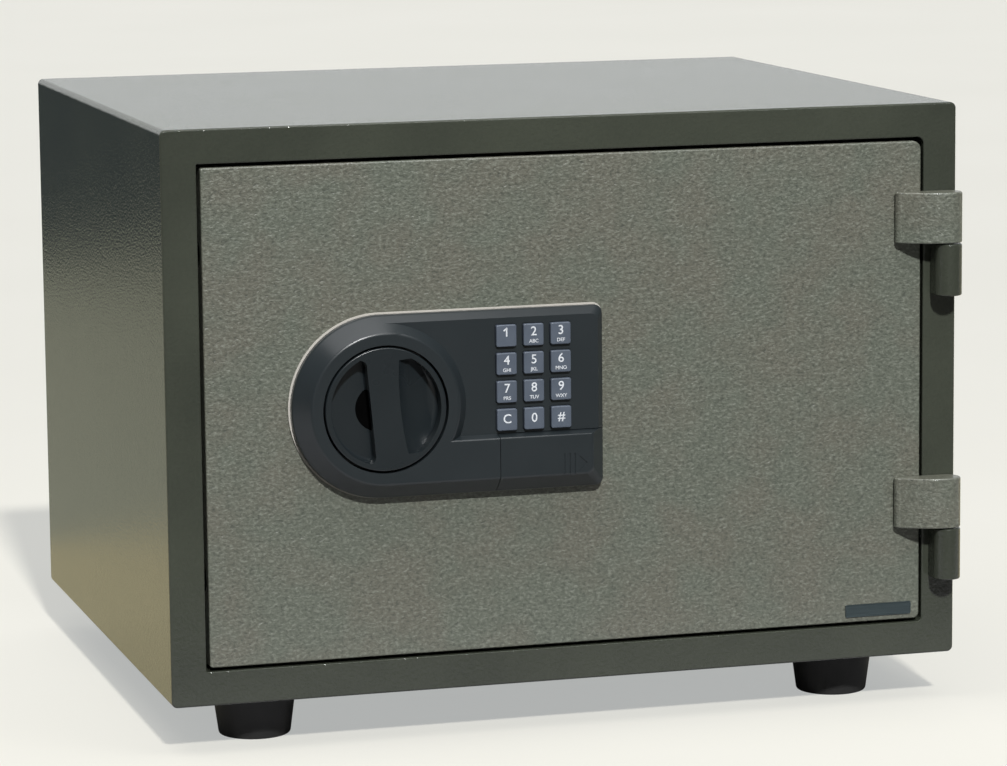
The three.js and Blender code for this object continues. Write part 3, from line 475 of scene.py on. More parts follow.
def roundCorners(piece, radii):
    # Edges that run back from the front: upper left, lower left, lower right, upper right
    sides = ((-1, 1), (-1, -1), (1, -1), (1, 1))
    for (right, up), radius in zip(sides, radii):
        roundEdges(piece, radius, 6, lambda a, b: abs(a.y - b.y) > 20 and a.x * right > 50
                   and (a.z - middleZ) * up > 50)


def makeCabinetShell():
    c = cabinet
    shell = addBox("cabinetShell", (-c["halfWidth"], 0, 0), (c["halfWidth"], c["depth"], c["height"]))
    # Long bends of the wrapper, then its front edge
    roundEdges(shell, c["edgeRadius"], 6, runsBack(300))
    roundEdges(shell, c["frontRound"], 4, before(0.01))
    # The doorway runs back to the seal land and on, narrower, to the room
    x, z = c["openingHalfWidth"], c["openingHalfHeight"]
    doorway = addBox("doorway", (-x, -2, middleZ - z), (x, c["landDepth"], middleZ + z))
    roundCorners(doorway, c["openingCorners"])
    x, z = c["cavityHalfWidth"], c["cavityHalfHeight"]
    roomBack = c["landDepth"] + c["returnDepth"]
    room = addBox("room", (-x, 20, middleZ - z), (x, roomBack, middleZ + z))
    carve(doorway, room, operation="UNION")
    carve(shell, doorway)
    dropFaces(shell, lambda middle, normal: normal.y > 0.9 and middle.y > 300
              or normal.y < -0.9 and middle.y > roomBack - 0.1)
    roundEdges(shell, c["jambRound"], 3, lambda a, b: max(a.y, b.y) < 0.01 and all(
        abs(p.x) < c["openingHalfWidth"] + 0.01 and abs(p.z - middleZ) < c["openingHalfHeight"] + 0.01
        for p in (a, b)))
    thicken(shell, c["sheet"])
    for z in boltHeights:
        # The strike on the left takes a thrown bolt; the slot on the right lets a fixed bolt swing in
        y, reach = bolts["depth"], bolts["strikeHalf"]
        strike = addBox("strike", (-200, y - reach, z - reach), (-187, y + reach, z + reach))
        y, reach = bolts["fixedDepth"], bolts["slotHalf"]
        slot = addBox("slot", (187, bolts["slotFront"], z - reach), (200, y + reach, z + reach))
        carve(shell, strike, slot)
    soften(shell, 0)
    finishPiece(shell, bodyPaint, "cabinet", "body_paint", "outer_shell", "front_frame")


def makeLiner():
    c = cabinet
    x, z = c["cavityHalfWidth"], c["cavityHalfHeight"]
    front = c["landDepth"] + c["returnDepth"] + c["linerGap"]
    liner = addBox("pressedLiner", (-x, front, middleZ - z), (x, c["cavityBack"], middleZ + z))
    dropFaces(liner, lambda middle, normal: normal.y < -0.9)
    roundEdges(liner, c["linerCorner"], 5, lambda a, b: min(a.y, b.y) > front + 1 or abs(a.y - b.y) > 100)
    pickAll()
    bpy.ops.mesh.flip_normals()
    thicken(liner, c["linerWall"])
    soften(liner, 0)
    finishPiece(liner, linerPaint, "cabinet", "liner_paint", "inner_liner")


feet = {"floor": -25.0, "seat": -0.3, "top": 21.4, "bottom": 18.1, "bottomRound": 1.2, "topRound": 1.0,
        "recess": 7.0, "recessHeight": 18.4,
        "places": {"front_left": (-155, 43.7), "front_right": (155, 43.7), "back_left": (-155, 291.3),
                   "back_right": (155, 291.3)}}


def makeFeet():
    f = feet
    for name, (x, y) in f["places"].items():
        foot = addCone("rubberFoot_" + name, f["bottom"], f["top"], (x, y, f["floor"]), (x, y, f["seat"]))
        pickFaces(foot, lambda middle, normal: normal.z < -0.9)
        inset(f["bottom"] - f["recess"])
        extrude(0, 0, f["recessHeight"])
        roundEdges(foot, f["bottomRound"], 3, lambda a, b: max(a.z, b.z) < f["floor"] + 0.1)
        roundEdges(foot, f["topRound"], 2, lambda a, b: min(a.z, b.z) > f["seat"] - 0.1)
        soften(foot, 0)
        finishPiece(foot, footRubber, "cabinet", "foot_rubber", "foot_" + name)


# Hinges: each lug turns with the door on top of a fixed knuckle

hinges = {"x": 199.0, "out": 7.4, "radius": 7.0, "gap": 0.4, "lugHeight": 26.0, "lugReach": 26.7,
          "lugEnd": 4.9, "knuckleHeight": 26.5, "splits": {"lower": 67.4, "upper": 214.2},
          "splitGap": 0.5, "edgeRound": 0.8}


def addProfile(name, corners, bottom, top):
    # A closed outline seen from above, raised to its height with rounded ends. Each corner is
    # a point with the handles before and after it, all as x and y.
    edgeRound = hinges["edgeRound"]
    deselectAll()
    bpy.ops.curve.primitive_bezier_curve_add()
    curve = bpy.context.object
    curve.data.splines.clear()
    spline = curve.data.splines.new("BEZIER")
    spline.bezier_points.add(len(corners) - 1)
    for point, (x, y, beforeX, beforeY, afterX, afterY) in zip(spline.bezier_points, corners):
        point.handle_left_type = point.handle_right_type = "FREE"
        point.co = Vector((x, y, 0)) * mm
        point.handle_left = Vector((beforeX, beforeY, 0)) * mm
        point.handle_right = Vector((afterX, afterY, 0)) * mm
    spline.use_cyclic_u = True
    spline.resolution_u = 12
    curve.data.dimensions = "2D"
    curve.data.fill_mode = "BOTH"
    curve.data.extrude = (top - bottom) / 2 * mm - edgeRound * mm
    curve.data.bevel_depth = edgeRound * mm
    curve.data.bevel_resolution = 2
    curve.data.offset = -edgeRound * mm
    curve.location = spot(0, 0, (bottom + top) / 2)
    bpy.ops.object.convert(target="MESH")
    piece = settle(name)
    edit(piece)
    mergePoints()
    bpy.ops.mesh.dissolve_degenerate(threshold=0.00001)
    bpy.ops.mesh.fill_holes(sides=8)
    bpy.ops.mesh.normals_make_consistent(inside=False)
    return piece


def makeHinges():
    h = hinges
    k = 0.5523 * h["radius"]      # handle length of a quarter circle
    x, y, r = h["x"], -h["out"], h["radius"]
    back = -h["gap"]
    left = x - h["lugReach"]
    lugCorners = [
        (x, back, x - 4, back, x + k, back),
        (x + r, y, x + r, y + k, x + r, y - k),
        (x, y - r, x + k, y - r, x - 7.5, y - r),
        (left + 2.4, back - h["lugEnd"], left + 9.5, -11.2, left + 0.9, back - h["lugEnd"] + 0.3),
        (left, -2.2, left, -3.6, left, -1.2),
        (left + 1.3, back, left + 0.5, back, left + 5, back)]
    knuckleCorners = [
        (x - r, -0.3, x - r, -1.5, x - r + 2, -0.3),
        (x + r, -0.3, x + r - 2, -0.3, x + r, -1.5),
        (x + r, y, x + r, y + 2, x + r, y - k),
        (x, y - r, x + k, y - r, x - k, y - r),
        (x - r, y, x - r, y - k, x - r, y + 2)]
    for side, split in h["splits"].items():
        low = split + h["splitGap"] / 2
        lug = addProfile("hingeLug_" + side, lugCorners, low, low + h["lugHeight"])
        soften(lug, 0)
        finishPiece(lug, doorPaint, "door", "door_paint", "hinge_lug_" + side)
        high = split - h["splitGap"] / 2
        knuckle = addProfile("hingeKnuckle_" + side, knuckleCorners, high - h["knuckleHeight"], high)
        soften(knuckle, 0)
        finishPiece(knuckle, bodyPaint, "cabinet", "body_paint", "hinge_knuckle_" + side)


# Door

door = {"left": -186.5, "right": 187.0, "bottom": 19.0, "top": 266.0, "depth": 27.0, "wall": 2.0,
        "corners": (1.2, 1.5, 3.0, 4.5), "edgeRound": 1.0, "spindleHole": 6.3, "trayGap": 0.3,
        "thickness": 75.0, "sheet": 1.5, "flangeBack": 26.7, "flangeGap": 0.3,
        "plugHalfWidth": 156.5, "plugHalfHeight": 93.0, "draft": 5.5, "plugCorner": 8.0, "plugRim": 3.0,
        "fieldHalfWidth": 128.0, "fieldHalfHeight": 65.0, "fieldDepth": 1.4, "fieldCorner": 6.0,
        "fieldRound": 1.2, "screwHole": 2.3,
        "sealInnerX": 162.0, "sealInnerZ": 98.5, "sealWidth": 11.0, "sealBack": 30.6, "sealCorner": 19.0}
bolts = {"radius": 8.0, "depth": 13.5, "tip": -185.9, "inner": -151.9, "chamfer": 1.5, "strikeHalf": 9.6,
         "fixedRadius": 6.0, "fixedDepth": 15.0, "fixedTip": 195.0, "headRadius": 8.5, "headDepth": 3.0,
         "slotHalf": 6.8, "slotFront": 6.0, "liveGap": 0.8, "fixedGap": 0.3}
boltHeights = (62.0, 223.0)
pairNames = ("lower", "upper")


def makeDoorPan():
    d = door
    pan = addBox("doorPan", (d["left"], 0, d["bottom"]), (d["right"], d["depth"], d["top"]))
    dropFaces(pan, lambda middle, normal: normal.y > 0.9)
    roundCorners(pan, d["corners"])
    roundEdges(pan, d["edgeRound"], 4, before(0.01))
    thicken(pan, d["wall"])
    b = bolts
    for z in boltHeights:
        radius = b["radius"] + b["liveGap"]
        live = addRodAlongX("hole", radius, d["left"] - 1, d["left"] + 3, b["depth"], z)
        radius = b["fixedRadius"] + b["fixedGap"]
        fixed = addRodAlongX("hole", radius, d["right"] - 3, d["right"] + 1, b["fixedDepth"], z)
        carve(pan, live, fixed)
    carve(pan, addKnobRod("hole", d["spindleHole"], 1, -3, 64))
    low, high = (inMm(corner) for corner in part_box("battery_tray"))
    gap = d["trayGap"]
    carve(pan, addBox("hole", (low.x - gap, -1, low.z - gap), (high.x + gap, 3, high.z + gap)))
    soften(pan, 0)
    finishPiece(pan, doorPaint, "door", "door_paint", "door_panel")


def plugForm(name, back, shrink):
    # The stepped plug of the door, narrowing towards the room, with rounded corners and a rounded rim
    d = door
    x, z = d["plugHalfWidth"] - shrink, d["plugHalfHeight"] - shrink
    far = d["thickness"] - shrink
    plug = addBox(name, (-x, back, middleZ - z), (x, far, middleZ + z))
    pickFaces(plug, lambda middle, normal: normal.y > 0.9)
    stretch(1 - d["draft"] / x, 1, 1 - d["draft"] / z, (0, far, middleZ))
    roundEdges(plug, d["plugCorner"] - shrink, 6, runsBack(40))
    roundEdges(plug, d["plugRim"] - shrink / 2, 4, behind(far - 0.1))
    return plug


def pressedField(name, front, back, grow):
    # The shallow field pressed into the plug's face
    d = door
    x, z = d["fieldHalfWidth"] + grow, d["fieldHalfHeight"] + grow
    field = addBox(name, (-x, front, middleZ - z), (x, back, middleZ + z))
    roundEdges(field, d["fieldCorner"] + grow, 6, runsBack(1))
    roundEdges(field, d["fieldRound"], 3, before(front + 0.01))
    return field


screwNames = ("lower_left", "lower_right", "upper_left", "upper_right")


def screwBox(name):
    # The screw's low and high corners in the solids, then the x and z of its middle
    low, high = (inMm(corner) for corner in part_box("cover_screw_" + name))
    return low, high, (low.x + high.x) / 2, (low.z + high.z) / 2


def makeInnerCover():
    d = door
    edge = d["wall"] + d["flangeGap"]
    sheet = d["sheet"]
    cover = addBox(
        "pressedInnerCover", (d["left"] + edge, d["flangeBack"] - sheet, d["bottom"] + edge),
        (d["right"] - edge, d["flangeBack"], d["top"] - edge))
    carve(cover, plugForm("plug", d["flangeBack"] - sheet / 2, 0), operation="UNION")
    # A shallow pressed field keeps the sheet stiff, and stands out on the hidden side
    hollow = plugForm("hollow", d["flangeBack"] - sheet - 1, sheet)
    carve(hollow, pressedField("boss", d["thickness"] - d["fieldDepth"] - sheet, d["thickness"], sheet))
    carve(cover, hollow, pressedField("field", d["thickness"] - d["fieldDepth"], d["thickness"] + 2, 0))
    for name in screwNames:
        low, high, x, z = screwBox(name)
        carve(cover, addRod("hole", d["screwHole"], (x, 20, z), (x, 30, z), "y", 24))
    soften(cover, 0)
    finishPiece(cover, linerPaint, "door", "liner_paint", "door_inner_cover")


def makeSeal():
    d = door
    x, z = d["sealInnerX"] + d["sealWidth"], d["sealInnerZ"] + d["sealWidth"]
    seal = addPlate("fireSeal", (-x, d["sealBack"], middleZ - z), (x, d["sealBack"], middleZ + z))
    edit(seal)
    pickAll()
    bpy.ops.mesh.bevel(offset=d["sealCorner"] * mm, segments=8, affect="VERTICES")
    pickFaces(seal, lambda middle, normal: True)
    inset(d["sealWidth"])
    bpy.ops.mesh.delete(type="FACE")
    thicken(seal, d["sealBack"] - d["depth"])
    soften(seal, 1.2, 3, 60)
    finishPiece(seal, footRubber, "door", "foot_rubber", "door_seal")


def makeBolts():
    b = bolts
    for side, z in zip(pairNames, boltHeights):
        live = addRodAlongX("liveBolt_" + side, b["radius"], b["tip"], b["inner"], b["depth"], z)
        roundEdges(live, b["chamfer"], 3, lambda a, c: max(a.x, c.x) < b["tip"] + 0.01)
        roundEdges(live, 0.4, 2, lambda a, c: min(a.x, c.x) > b["inner"] - 0.01)
        soften(live, 0)
        finishPiece(live, chromeSteel, "bolt_work", "chromed_steel", "live_bolt_" + side)
        inner = door["right"] - door["wall"] - door["flangeGap"]
        far = inner - b["headDepth"]
        depth = b["fixedDepth"]
        fixed = addRodAlongX("fixedBolt_" + side, b["fixedRadius"], far, b["fixedTip"], depth, z)
        head = addRodAlongX("head", b["headRadius"], far, inner, depth, z)
        carve(fixed, head, operation="UNION")
        roundEdges(fixed, 1.0, 3, lambda a, c: min(a.x, c.x) > b["fixedTip"] - 0.01)
        soften(fixed, 0.3)
        finishPiece(fixed, chromeSteel, "door", "chromed_steel", "fixed_bolt_" + side)


coverScrew = {"head": 3.8, "headDepth": 1.8, "headRound": 1.1, "shank": 2.0, "cross": (2.1, 0.4),
              "crossDepth": 1.1}


def makeCoverScrews():
    # A pan head with a cross recess; the shank is hidden in the door
    s = coverScrew
    long, narrow = s["cross"]
    for name in screwNames:
        low, high, x, z = screwBox(name)
        top = high.y
        under, floor = top - s["headDepth"], top - s["crossDepth"]
        screw = addRod("coverScrew_" + name, s["head"], (x, under, z), (x, top, z), "y", 32)
        roundEdges(screw, s["headRound"], 4, behind(top - 0.01))
        shank = addRod("shank", s["shank"], (x, low.y, z), (x, top - 1.5, z), "y", 24)
        carve(screw, shank, operation="UNION")
        for right, up in ((long, narrow), (narrow, long)):
            carve(screw, addBox("arm", (x - right, floor, z - up), (x + right, top + 1, z + up)))
        soften(screw, 0)
        finishPiece(screw, zincSteel, "door", "plain_steel", "cover_screw_" + name)


# Electronic lock: levels are heights above the door's face

knobX, knobZ = -98.7, 145.2
lock = {"half": 45.5, "right": 15.3, "back": 0.3, "wallLevel": 4.5, "topLevel": 13.5, "rimInset": 8.0,
        "corner": 3.5, "fieldLevel": 8.5, "fieldBottom": 129.1, "stripTop": 127.8, "coverX": -40.5,
        "coverWall": 1.6, "seam": 0.3, "wellRadius": 31.8, "wellLevel": 3.0, "hubHole": 7.0,
        "ribs": (-7.6, -4.9, -2.2), "ribWidth": 0.7, "ribFrom": 107.8, "ribTo": 118.2,
        "arrow": (0.6, 4.4, 109.4, 116.6), "markLevel": 13.1, "edgeRound": 0.45, "creaseRound": 0.9,
        "outerRound": 0.9, "highlightReach": 0.75, "highlightShift": (-0.25, 0.2), "highlightLevels": (0.35, 1.1)}
keys = {"x": -22.1, "z": 157.25, "pitch": 14.0, "width": 10.4, "height": 11.0, "corner": 1.0, "gap": 0.35,
        "top": 10.5, "flangeBack": 5.0, "flangeFront": 6.2, "flangeReach": 1.2, "stem": 1.6,
        "stemBack": 4.3, "roomReach": 4.0, "roomFront": 6.5, "roomBelow": 0.35, "roomAbove": 1.2,
        "edgeRound": 0.6, "digitSize": 6.4, "digitRaise": 1.6, "letterSize": 2.5, "letterDrop": 3.2,
        "inkSink": 0.02, "flagSize": (0.9, 0.02, 0.36), "flagTurn": -38, "flagPlace": (-0.85, 1.45)}


def housingForm(name):
    # A half disc on the left, drawn out to the right, raised as a wall and sloped in to its top
    k = lock
    deselectAll()
    bpy.ops.mesh.primitive_circle_add(
        vertices=144, radius=k["half"] * mm, fill_type="NGON", location=spot(knobX, -k["back"], knobZ),
        rotation=(math.pi / 2, 0, 0))
    form = settle(name)
    edit(form)
    pickAll()
    bpy.ops.mesh.bisect(plane_co=spot(knobX, 0, 0), plane_no=(1, 0, 0), clear_outer=True)
    pickEdges(form, lambda a, b: min(a.x, b.x) > knobX - 0.01)
    extrude(k["right"] - knobX, 0, 0)
    mergePoints()
    bpy.ops.mesh.normals_make_consistent(inside=False)
    pickEdges(form, lambda a, b: abs(a.x - knobX) < 0.01 and abs(b.x - knobX) < 0.01)
    bpy.ops.mesh.dissolve_edges(use_verts=False)
    pickFaces(form, lambda middle, normal: True)
    extrude(0, k["back"] - k["wallLevel"], 0)
    inset(k["rimInset"])
    move(0, k["wallLevel"] - k["topLevel"], 0)
    faceOut()
    # Right-hand corners, from the door up over the slope
    roundEdges(form, k["corner"], 5, lambda a, b: abs(a.y - b.y) > 1
               and min(a.x, b.x) > k["right"] - k["rimInset"] - 0.1)
    # The outer edge and the crease of the slope are rounded, and catch the light
    roundEdges(form, k["creaseRound"], 4, before(0.01 - k["topLevel"]))
    roundEdges(form, k["outerRound"], 4, lambda a, b: all(
        abs(p.y + k["wallLevel"]) < 0.01 for p in (a, b)))
    deselectAll()
    return form


def leanStrip():
    # The step from the field up to the strip's top leans: this moves what is picked at y = -20
    k = lock
    slope = (k["stripTop"] - k["fieldBottom"]) / (k["topLevel"] - k["fieldLevel"])
    move(0, 0, slope * (20 - k["fieldLevel"]))


def onStripEdge(a, b):
    # Whether an edge is the long top one of the strip
    k = lock
    return abs(a.x - b.x) > 5 and all(
        p.y < 0.01 - k["topLevel"] and abs(p.z - k["stripTop"]) < 0.1 for p in (a, b))


def onRingCrease(a, b):
    # Whether an edge is the crease of the knob's ring on the side of the keypad
    k = lock
    crease = k["half"] - k["rimInset"]
    return all(p.y < 0.01 - k["topLevel"] and p.x > knobX + 1 and abs(
        math.hypot(p.x - knobX, p.z - knobZ) - crease) < 0.05 for p in (a, b))


def cutField():
    # The lowered field of the keypad, with a leaning lower edge and the knob's ring left standing
    k = lock
    field = addBox("field", (knobX, -20, k["fieldBottom"]), (30, -k["fieldLevel"], 220))
    pickEdges(field, lambda a, b: max(a.z, b.z) < k["fieldBottom"] + 0.1 and max(a.y, b.y) < -19)
    leanStrip()
    slope = k["rimInset"] / (k["topLevel"] - k["wallLevel"])
    ring = addCone(
        "ring", k["half"] + slope * k["wallLevel"], k["half"] - slope * (22 - k["wallLevel"]),
        (knobX, 0, knobZ), (knobX, -22, knobZ), 144)
    carve(field, ring)
    return field


def cutKeyHoles():
    # One hole a little larger than a key, in rows of three by four
    s = keys
    x, z = s["x"] - s["pitch"], s["z"] - 1.5 * s["pitch"]
    right, up = s["width"] / 2 + s["gap"], s["height"] / 2 + s["gap"]
    holes = addBox("holes", (x - right, -12, z - up), (x + right, -5.5, z + up))
    roundEdges(holes, s["corner"] + s["gap"], 4, runsBack(1))
    for step, count in (((s["pitch"], 0, 0), 3), ((0, 0, s["pitch"]), 4)):
        row = holes.modifiers.new("row", "ARRAY")
        row.use_relative_offset = False
        row.use_constant_offset = True
        row.constant_offset_displace = Vector(step) * mm
        row.count = count
        applyModifiers(holes)
    return holes


def makeLockHousing(housing):
    k, s = lock, keys
    halfX, halfZ = s["pitch"] + s["width"] / 2, 1.5 * s["pitch"] + s["height"] / 2
    keyRoom = addBox(
        "room", (s["x"] - halfX - s["roomReach"], -s["roomFront"], s["z"] - halfZ - s["roomBelow"]),
        (s["x"] + halfX + s["roomReach"], 1, s["z"] + halfZ + s["roomAbove"]))
    carve(housing, cutField(), coverRoom(k["coverX"] - k["seam"], k["seam"]),
          addKnobRod("well", k["wellRadius"], 20, k["wellLevel"], 144),
          addKnobRod("hub", k["hubHole"], 4, -1, 48), keyRoom, cutKeyHoles())
    edit(housing)
    mergePoints()
    bpy.ops.mesh.fill_holes(sides=4)
    roundEdges(housing, k["creaseRound"], 4, lambda a, b: onRingCrease(a, b) or onStripEdge(a, b))
    soften(housing, k["edgeRound"], 2, 24)
    finishPiece(housing, lockPlastic, "door", "lock_plastic", "lock_housing")


def makeHighlightStrip(form):
    # A pale strip that the lock stands on shows as a thin line at its left and its top: a painted
    # highlight along those edges, shifted so that it shows wider there
    k = lock
    near, far = k["highlightLevels"]
    highlightStrip = copyOf(form, "paintedHighlightStrip")
    edit(highlightStrip)
    for level, out in ((far, -1), (near, 1)):
        pickAll()
        bpy.ops.mesh.bisect(plane_co=spot(0, -level, 0), plane_no=(0, out, 0), use_fill=True,
                            clear_outer=True, threshold=0.000001)
    pickFaces(highlightStrip, lambda middle, normal: abs(normal.y) < 0.5)
    bpy.ops.transform.shrink_fatten(value=k["highlightReach"] * mm, use_even_offset=True)
    faceOut()
    right, up = k["highlightShift"]
    move(right, 0, up)
    carve(highlightStrip, copyOf(form, "core"))
    soften(highlightStrip, 0.1, 2, 60)
    finishPiece(highlightStrip, highlightStripPale, "door", "foot_rubber")


def coverRoom(left, grow):
    # The part of the lock that the battery cover takes up
    k = lock
    room = addBox("room", (left, -20, 90), (30, 1, k["fieldBottom"] + grow))
    pickFaces(room, lambda middle, normal: True)
    bpy.ops.mesh.bisect(plane_co=spot(0, -k["fieldLevel"], 0), plane_no=(0, 1, 0))
    pickEdges(room, lambda a, b: min(a.z, b.z) > 100 and max(a.y, b.y) < -19)
    leanStrip()
    return room


def makeBatteryCover(cover):
    k = lock
    carve(cover, coverRoom(k["coverX"], 0), operation="INTERSECT")
    roundEdges(cover, k["creaseRound"], 4, onStripEdge)
    dropFaces(cover, lambda middle, normal: normal.y > 0.9 or normal.x < -0.9)
    thicken(cover, k["coverWall"])
    # Grip ribs and an arrow that show which way it slides, sunk into its face
    half, floor = k["ribWidth"] / 2, -k["markLevel"]
    for x in k["ribs"]:
        carve(cover, addBox("rib", (x - half, -14, k["ribFrom"]), (x + half, floor, k["ribTo"])))
    left, tip, low, high = k["arrow"]
    arrow = addBox("arrow", (left, -14, low), (tip, floor, high))
    pickPoints(arrow, lambda p: p.x > tip - 0.4)
    stretch(1, 1, 0.02, (tip, -13.5, (low + high) / 2))
    carve(cover, arrow)
    soften(cover, 0.3, 2, 24)
    finishPiece(cover, lockPlastic, "battery_cover", "lock_plastic", "battery_cover")


knobSizes = {
    "radius": 30.7, "back": 3.3, "top": 13.5, "edgeRound": 0.8, "grip": 15.0, "gripTurn": 5.2,
    "scoopRadius": 28.0, "scoopFloor": 5.6, "scoopCorner": 3.5, "floorRound": 2.4, "scoopHalf": 26.0,
    "dishCentre": 29.0, "dishLift": 8.0, "dishReach": 25.0, "dishHalf": 70.0, "dishEnd": 23.5,
    "dishCorner": 4.0, "pocketAside": 2.2, "pocketRadius": 11.6, "pocketFloor": 4.4, "pocketRoof": 9.8,
    "pocketRight": 3.0, "hub": 6.0, "hubBack": 0.6, "bore": 3.9, "boreFront": 11.5, "padWall": 0.4,
    "padGap": 0.15, "padSink": 0.02}


def cutScoop(limit):
    # The part of a disc with a rounded floor that lies inside the limiting form
    s = knobSizes
    scoop = addKnobRod("scoop", s["scoopRadius"], 20, s["scoopFloor"], 72, spin=2.5)
    roundEdges(scoop, s["floorRound"], 6, behind(-s["scoopFloor"] - 0.01))
    carve(scoop, limit, operation="INTERSECT")
    return scoop


def fingerLimit():
    # A straight wall beside the grip, with rounded ends and foot
    s = knobSizes
    wall = knobX - s["grip"] / 2
    foot = -s["scoopFloor"] + 0.7
    up = s["scoopHalf"]
    limit = addBox("limit", (knobX - 40, -25, knobZ - up), (wall, foot, knobZ + up))
    roundEdges(limit, s["scoopCorner"], 6, lambda a, b: abs(a.y - b.y) > 1 and min(a.x, b.x) > wall - 0.1)
    roundEdges(limit, s["floorRound"], 6, behind(foot - 0.1))
    return limit


def thumbLimit():
    # The grip falls away softly into a dish, deepest near the rim, with rounded ends
    s = knobSizes
    foot = -s["scoopFloor"] + 0.5
    up = s["dishEnd"]
    ends = addBox("ends", (knobX, -25, knobZ - up), (knobX + 40, foot, knobZ + up))
    roundEdges(ends, s["dishCorner"], 6, lambda a, b: min(a.y, b.y) > foot - 0.1 and abs(a.x - b.x) > 1)
    deselectAll()
    centre = spot(knobX + s["dishCentre"], -s["top"] - s["dishLift"], knobZ)
    bpy.ops.mesh.primitive_uv_sphere_add(segments=96, ring_count=48, radius=1, location=centre)
    depth = s["top"] + s["dishLift"] - s["scoopFloor"] + 0.4
    bpy.context.object.scale = Vector((s["dishReach"], depth, s["dishHalf"])) * mm
    dish = settle("dish")
    carve(dish, ends, operation="INTERSECT")
    return dish


def turnKnobPart(piece):
    # The knob stands a few degrees short of upright
    centre = spot(knobX, 0, knobZ)
    turn = Matrix.Rotation(math.radians(-knobSizes["gripTurn"]), 4, "Y")
    piece.data.transform(Matrix.Translation(centre) @ turn @ Matrix.Translation(-centre))
    return piece


def cutPocket(name, grow, low, high):
    # The hollow under the grip, open to the finger scoop on the left and closed on the right
    s = knobSizes
    pocket = addKnobRod(name, s["pocketRadius"] - grow, high, low, 96, aside=-s["pocketAside"])
    edit(pocket)
    pickAll()
    end = spot(knobX + s["pocketRight"] - grow, 0, 0)
    bpy.ops.mesh.bisect(plane_co=end, plane_no=(1, 0, 0), clear_outer=True, use_fill=True)
    carve(pocket, addKnobRod("core", s["hub"] + grow, high + 1, low - 1, 48))
    return pocket


def makeKnob():
    s = knobSizes
    knob = addKnobRod("turningKnob", s["radius"], s["top"], s["back"], 144)
    roundEdges(knob, s["edgeRound"], 3, before(0.01 - s["top"]))
    pocket = cutPocket("pocket", 0, s["pocketFloor"], s["pocketRoof"])
    carve(knob, cutScoop(fingerLimit()), cutScoop(thumbLimit()), pocket)
    carve(knob, addKnobRod("hub", s["hub"], s["back"] + 0.5, s["hubBack"], 48), operation="UNION")
    carve(knob, addKnobRod("bore", s["bore"], s["boreFront"], -1, 32))
    turnKnobPart(knob)
    soften(knob, 0.45, 3, 40)
    finishPiece(knob, knobPlastic, "knob", "lock_plastic", "knob")
    # A near-black pad on the pocket's floor paints the shade of the hollow under the grip
    floor = s["pocketFloor"]
    shadePad = turnKnobPart(cutPocket("paintedShadePad", s["padGap"], floor - s["padSink"], floor + s["padWall"]))
    soften(shadePad, 0.1, 2, 60)
    finishPiece(shadePad, hollowShadeBlack, "knob", "foot_rubber")


def addText(words, size, x, z, boldness):
    # Letters as thin slabs that lie on a key's face
    deselectAll()
    front = -keys["top"] - keys["inkSink"]
    bpy.ops.object.text_add(location=spot(x, front, z), rotation=(math.pi / 2, 0, 0))
    text = bpy.context.object
    text.data.body = words
    text.data.size = size * mm
    text.data.align_x = "CENTER"
    text.data.align_y = "CENTER"
    text.data.offset = boldness * mm
    text.data.extrude = keys["inkSink"] * mm
    text.data.resolution_u = 6
    bpy.ops.object.convert(target="MESH")
    legend = settle("legend")
    edit(legend)
    mergePoints(0.001)
    bpy.ops.mesh.normals_make_consistent(inside=False)
    return legend


keyFaces = (("1", ""), ("2", "ABC"), ("3", "DEF"), ("4", "GHI"), ("5", "JKL"), ("6", "MNO"), ("7", "PRS"),
            ("8", "TUV"), ("9", "WXY"), ("C", ""), ("0", ""), ("#", ""))
keyNodes = ("1", "2", "3", "4", "5", "6", "7", "8", "9", "clear", "0", "hash")


def makeKeyCap(x, z):
    s = keys
    right, up = s["width"] / 2, s["height"] / 2
    cap = addBox("key", (x - right, -s["top"], z - up), (x + right, -s["flangeBack"], z + up))
    roundEdges(cap, s["corner"], 4, runsBack(1))
    roundEdges(cap, s["edgeRound"], 4, before(0.01 - s["top"]))
    right += s["flangeReach"]
    front, back = -s["flangeFront"], -s["flangeBack"]
    flange = addBox("flange", (x - right, front, z - up), (x + right, back, z + up))
    stem = addRod("stem", s["stem"], (x, back - 0.5, z), (x, -s["stemBack"], z), "y", 16)
    carve(cap, flange, stem, operation="UNION")
    soften(cap, 0)
    return cap


def makeLegend(name, digit, letters, x, z):
    s = keys
    raised = z + (s["digitRaise"] if digit in "123456789" else 0.3)
    parts = [addText(digit, s["digitSize"], x, raised, 0.05)]
    if letters:
        parts.append(addText(letters, s["letterSize"], x, z - s["letterDrop"], 0.03))
    if digit == "1":
        # The plain stroke gets its flag
        size = s["flagSize"]
        flag = addBox("flag", [-side for side in size], size)
        right, up = s["flagPlace"]
        place = spot(x + right, -s["top"] - s["inkSink"], raised + up)
        turn = Matrix.Rotation(math.radians(s["flagTurn"]), 4, "Y")
        flag.data.transform(Matrix.Translation(place) @ turn @ Matrix.Translation(-spot(0, 0, 0)))
        parts.append(flag)
    deselectAll()
    for piece in parts:
        piece.select_set(True)
    legend = bpy.context.view_layer.objects.active = parts[0]
    if len(parts) > 1:
        bpy.ops.object.join()
    legend.name = legend.data.name = name
    return legend


def makeKeys():
    s = keys
    left, top = s["x"] - s["pitch"], s["z"] + 1.5 * s["pitch"]
    cap = makeKeyCap(left, top)
    for i, (node, (digit, letters)) in enumerate(zip(keyNodes, keyFaces)):
        right, down = i % 3 * s["pitch"], i // 3 * s["pitch"]
        key = copyOf(cap, "keyCap_" + node, (right, 0, -down))
        finishPiece(key, keyPlastic, "key_" + node, "key_plastic", "key_" + node)
        legend = makeLegend("keyLegend_" + node, digit, letters, left + right, top - down)
        finishPiece(legend, legendInk, "key_" + node, "key_plastic")
    bpy.data.objects.remove(cap)


plateSizes = {"left": 146.4, "right": 182.2, "bottom": 21.8, "top": 28.3, "front": -0.7, "corner": 0.8,
              "rim": 0.5, "lip": 0.15, "sunk": 0.18}


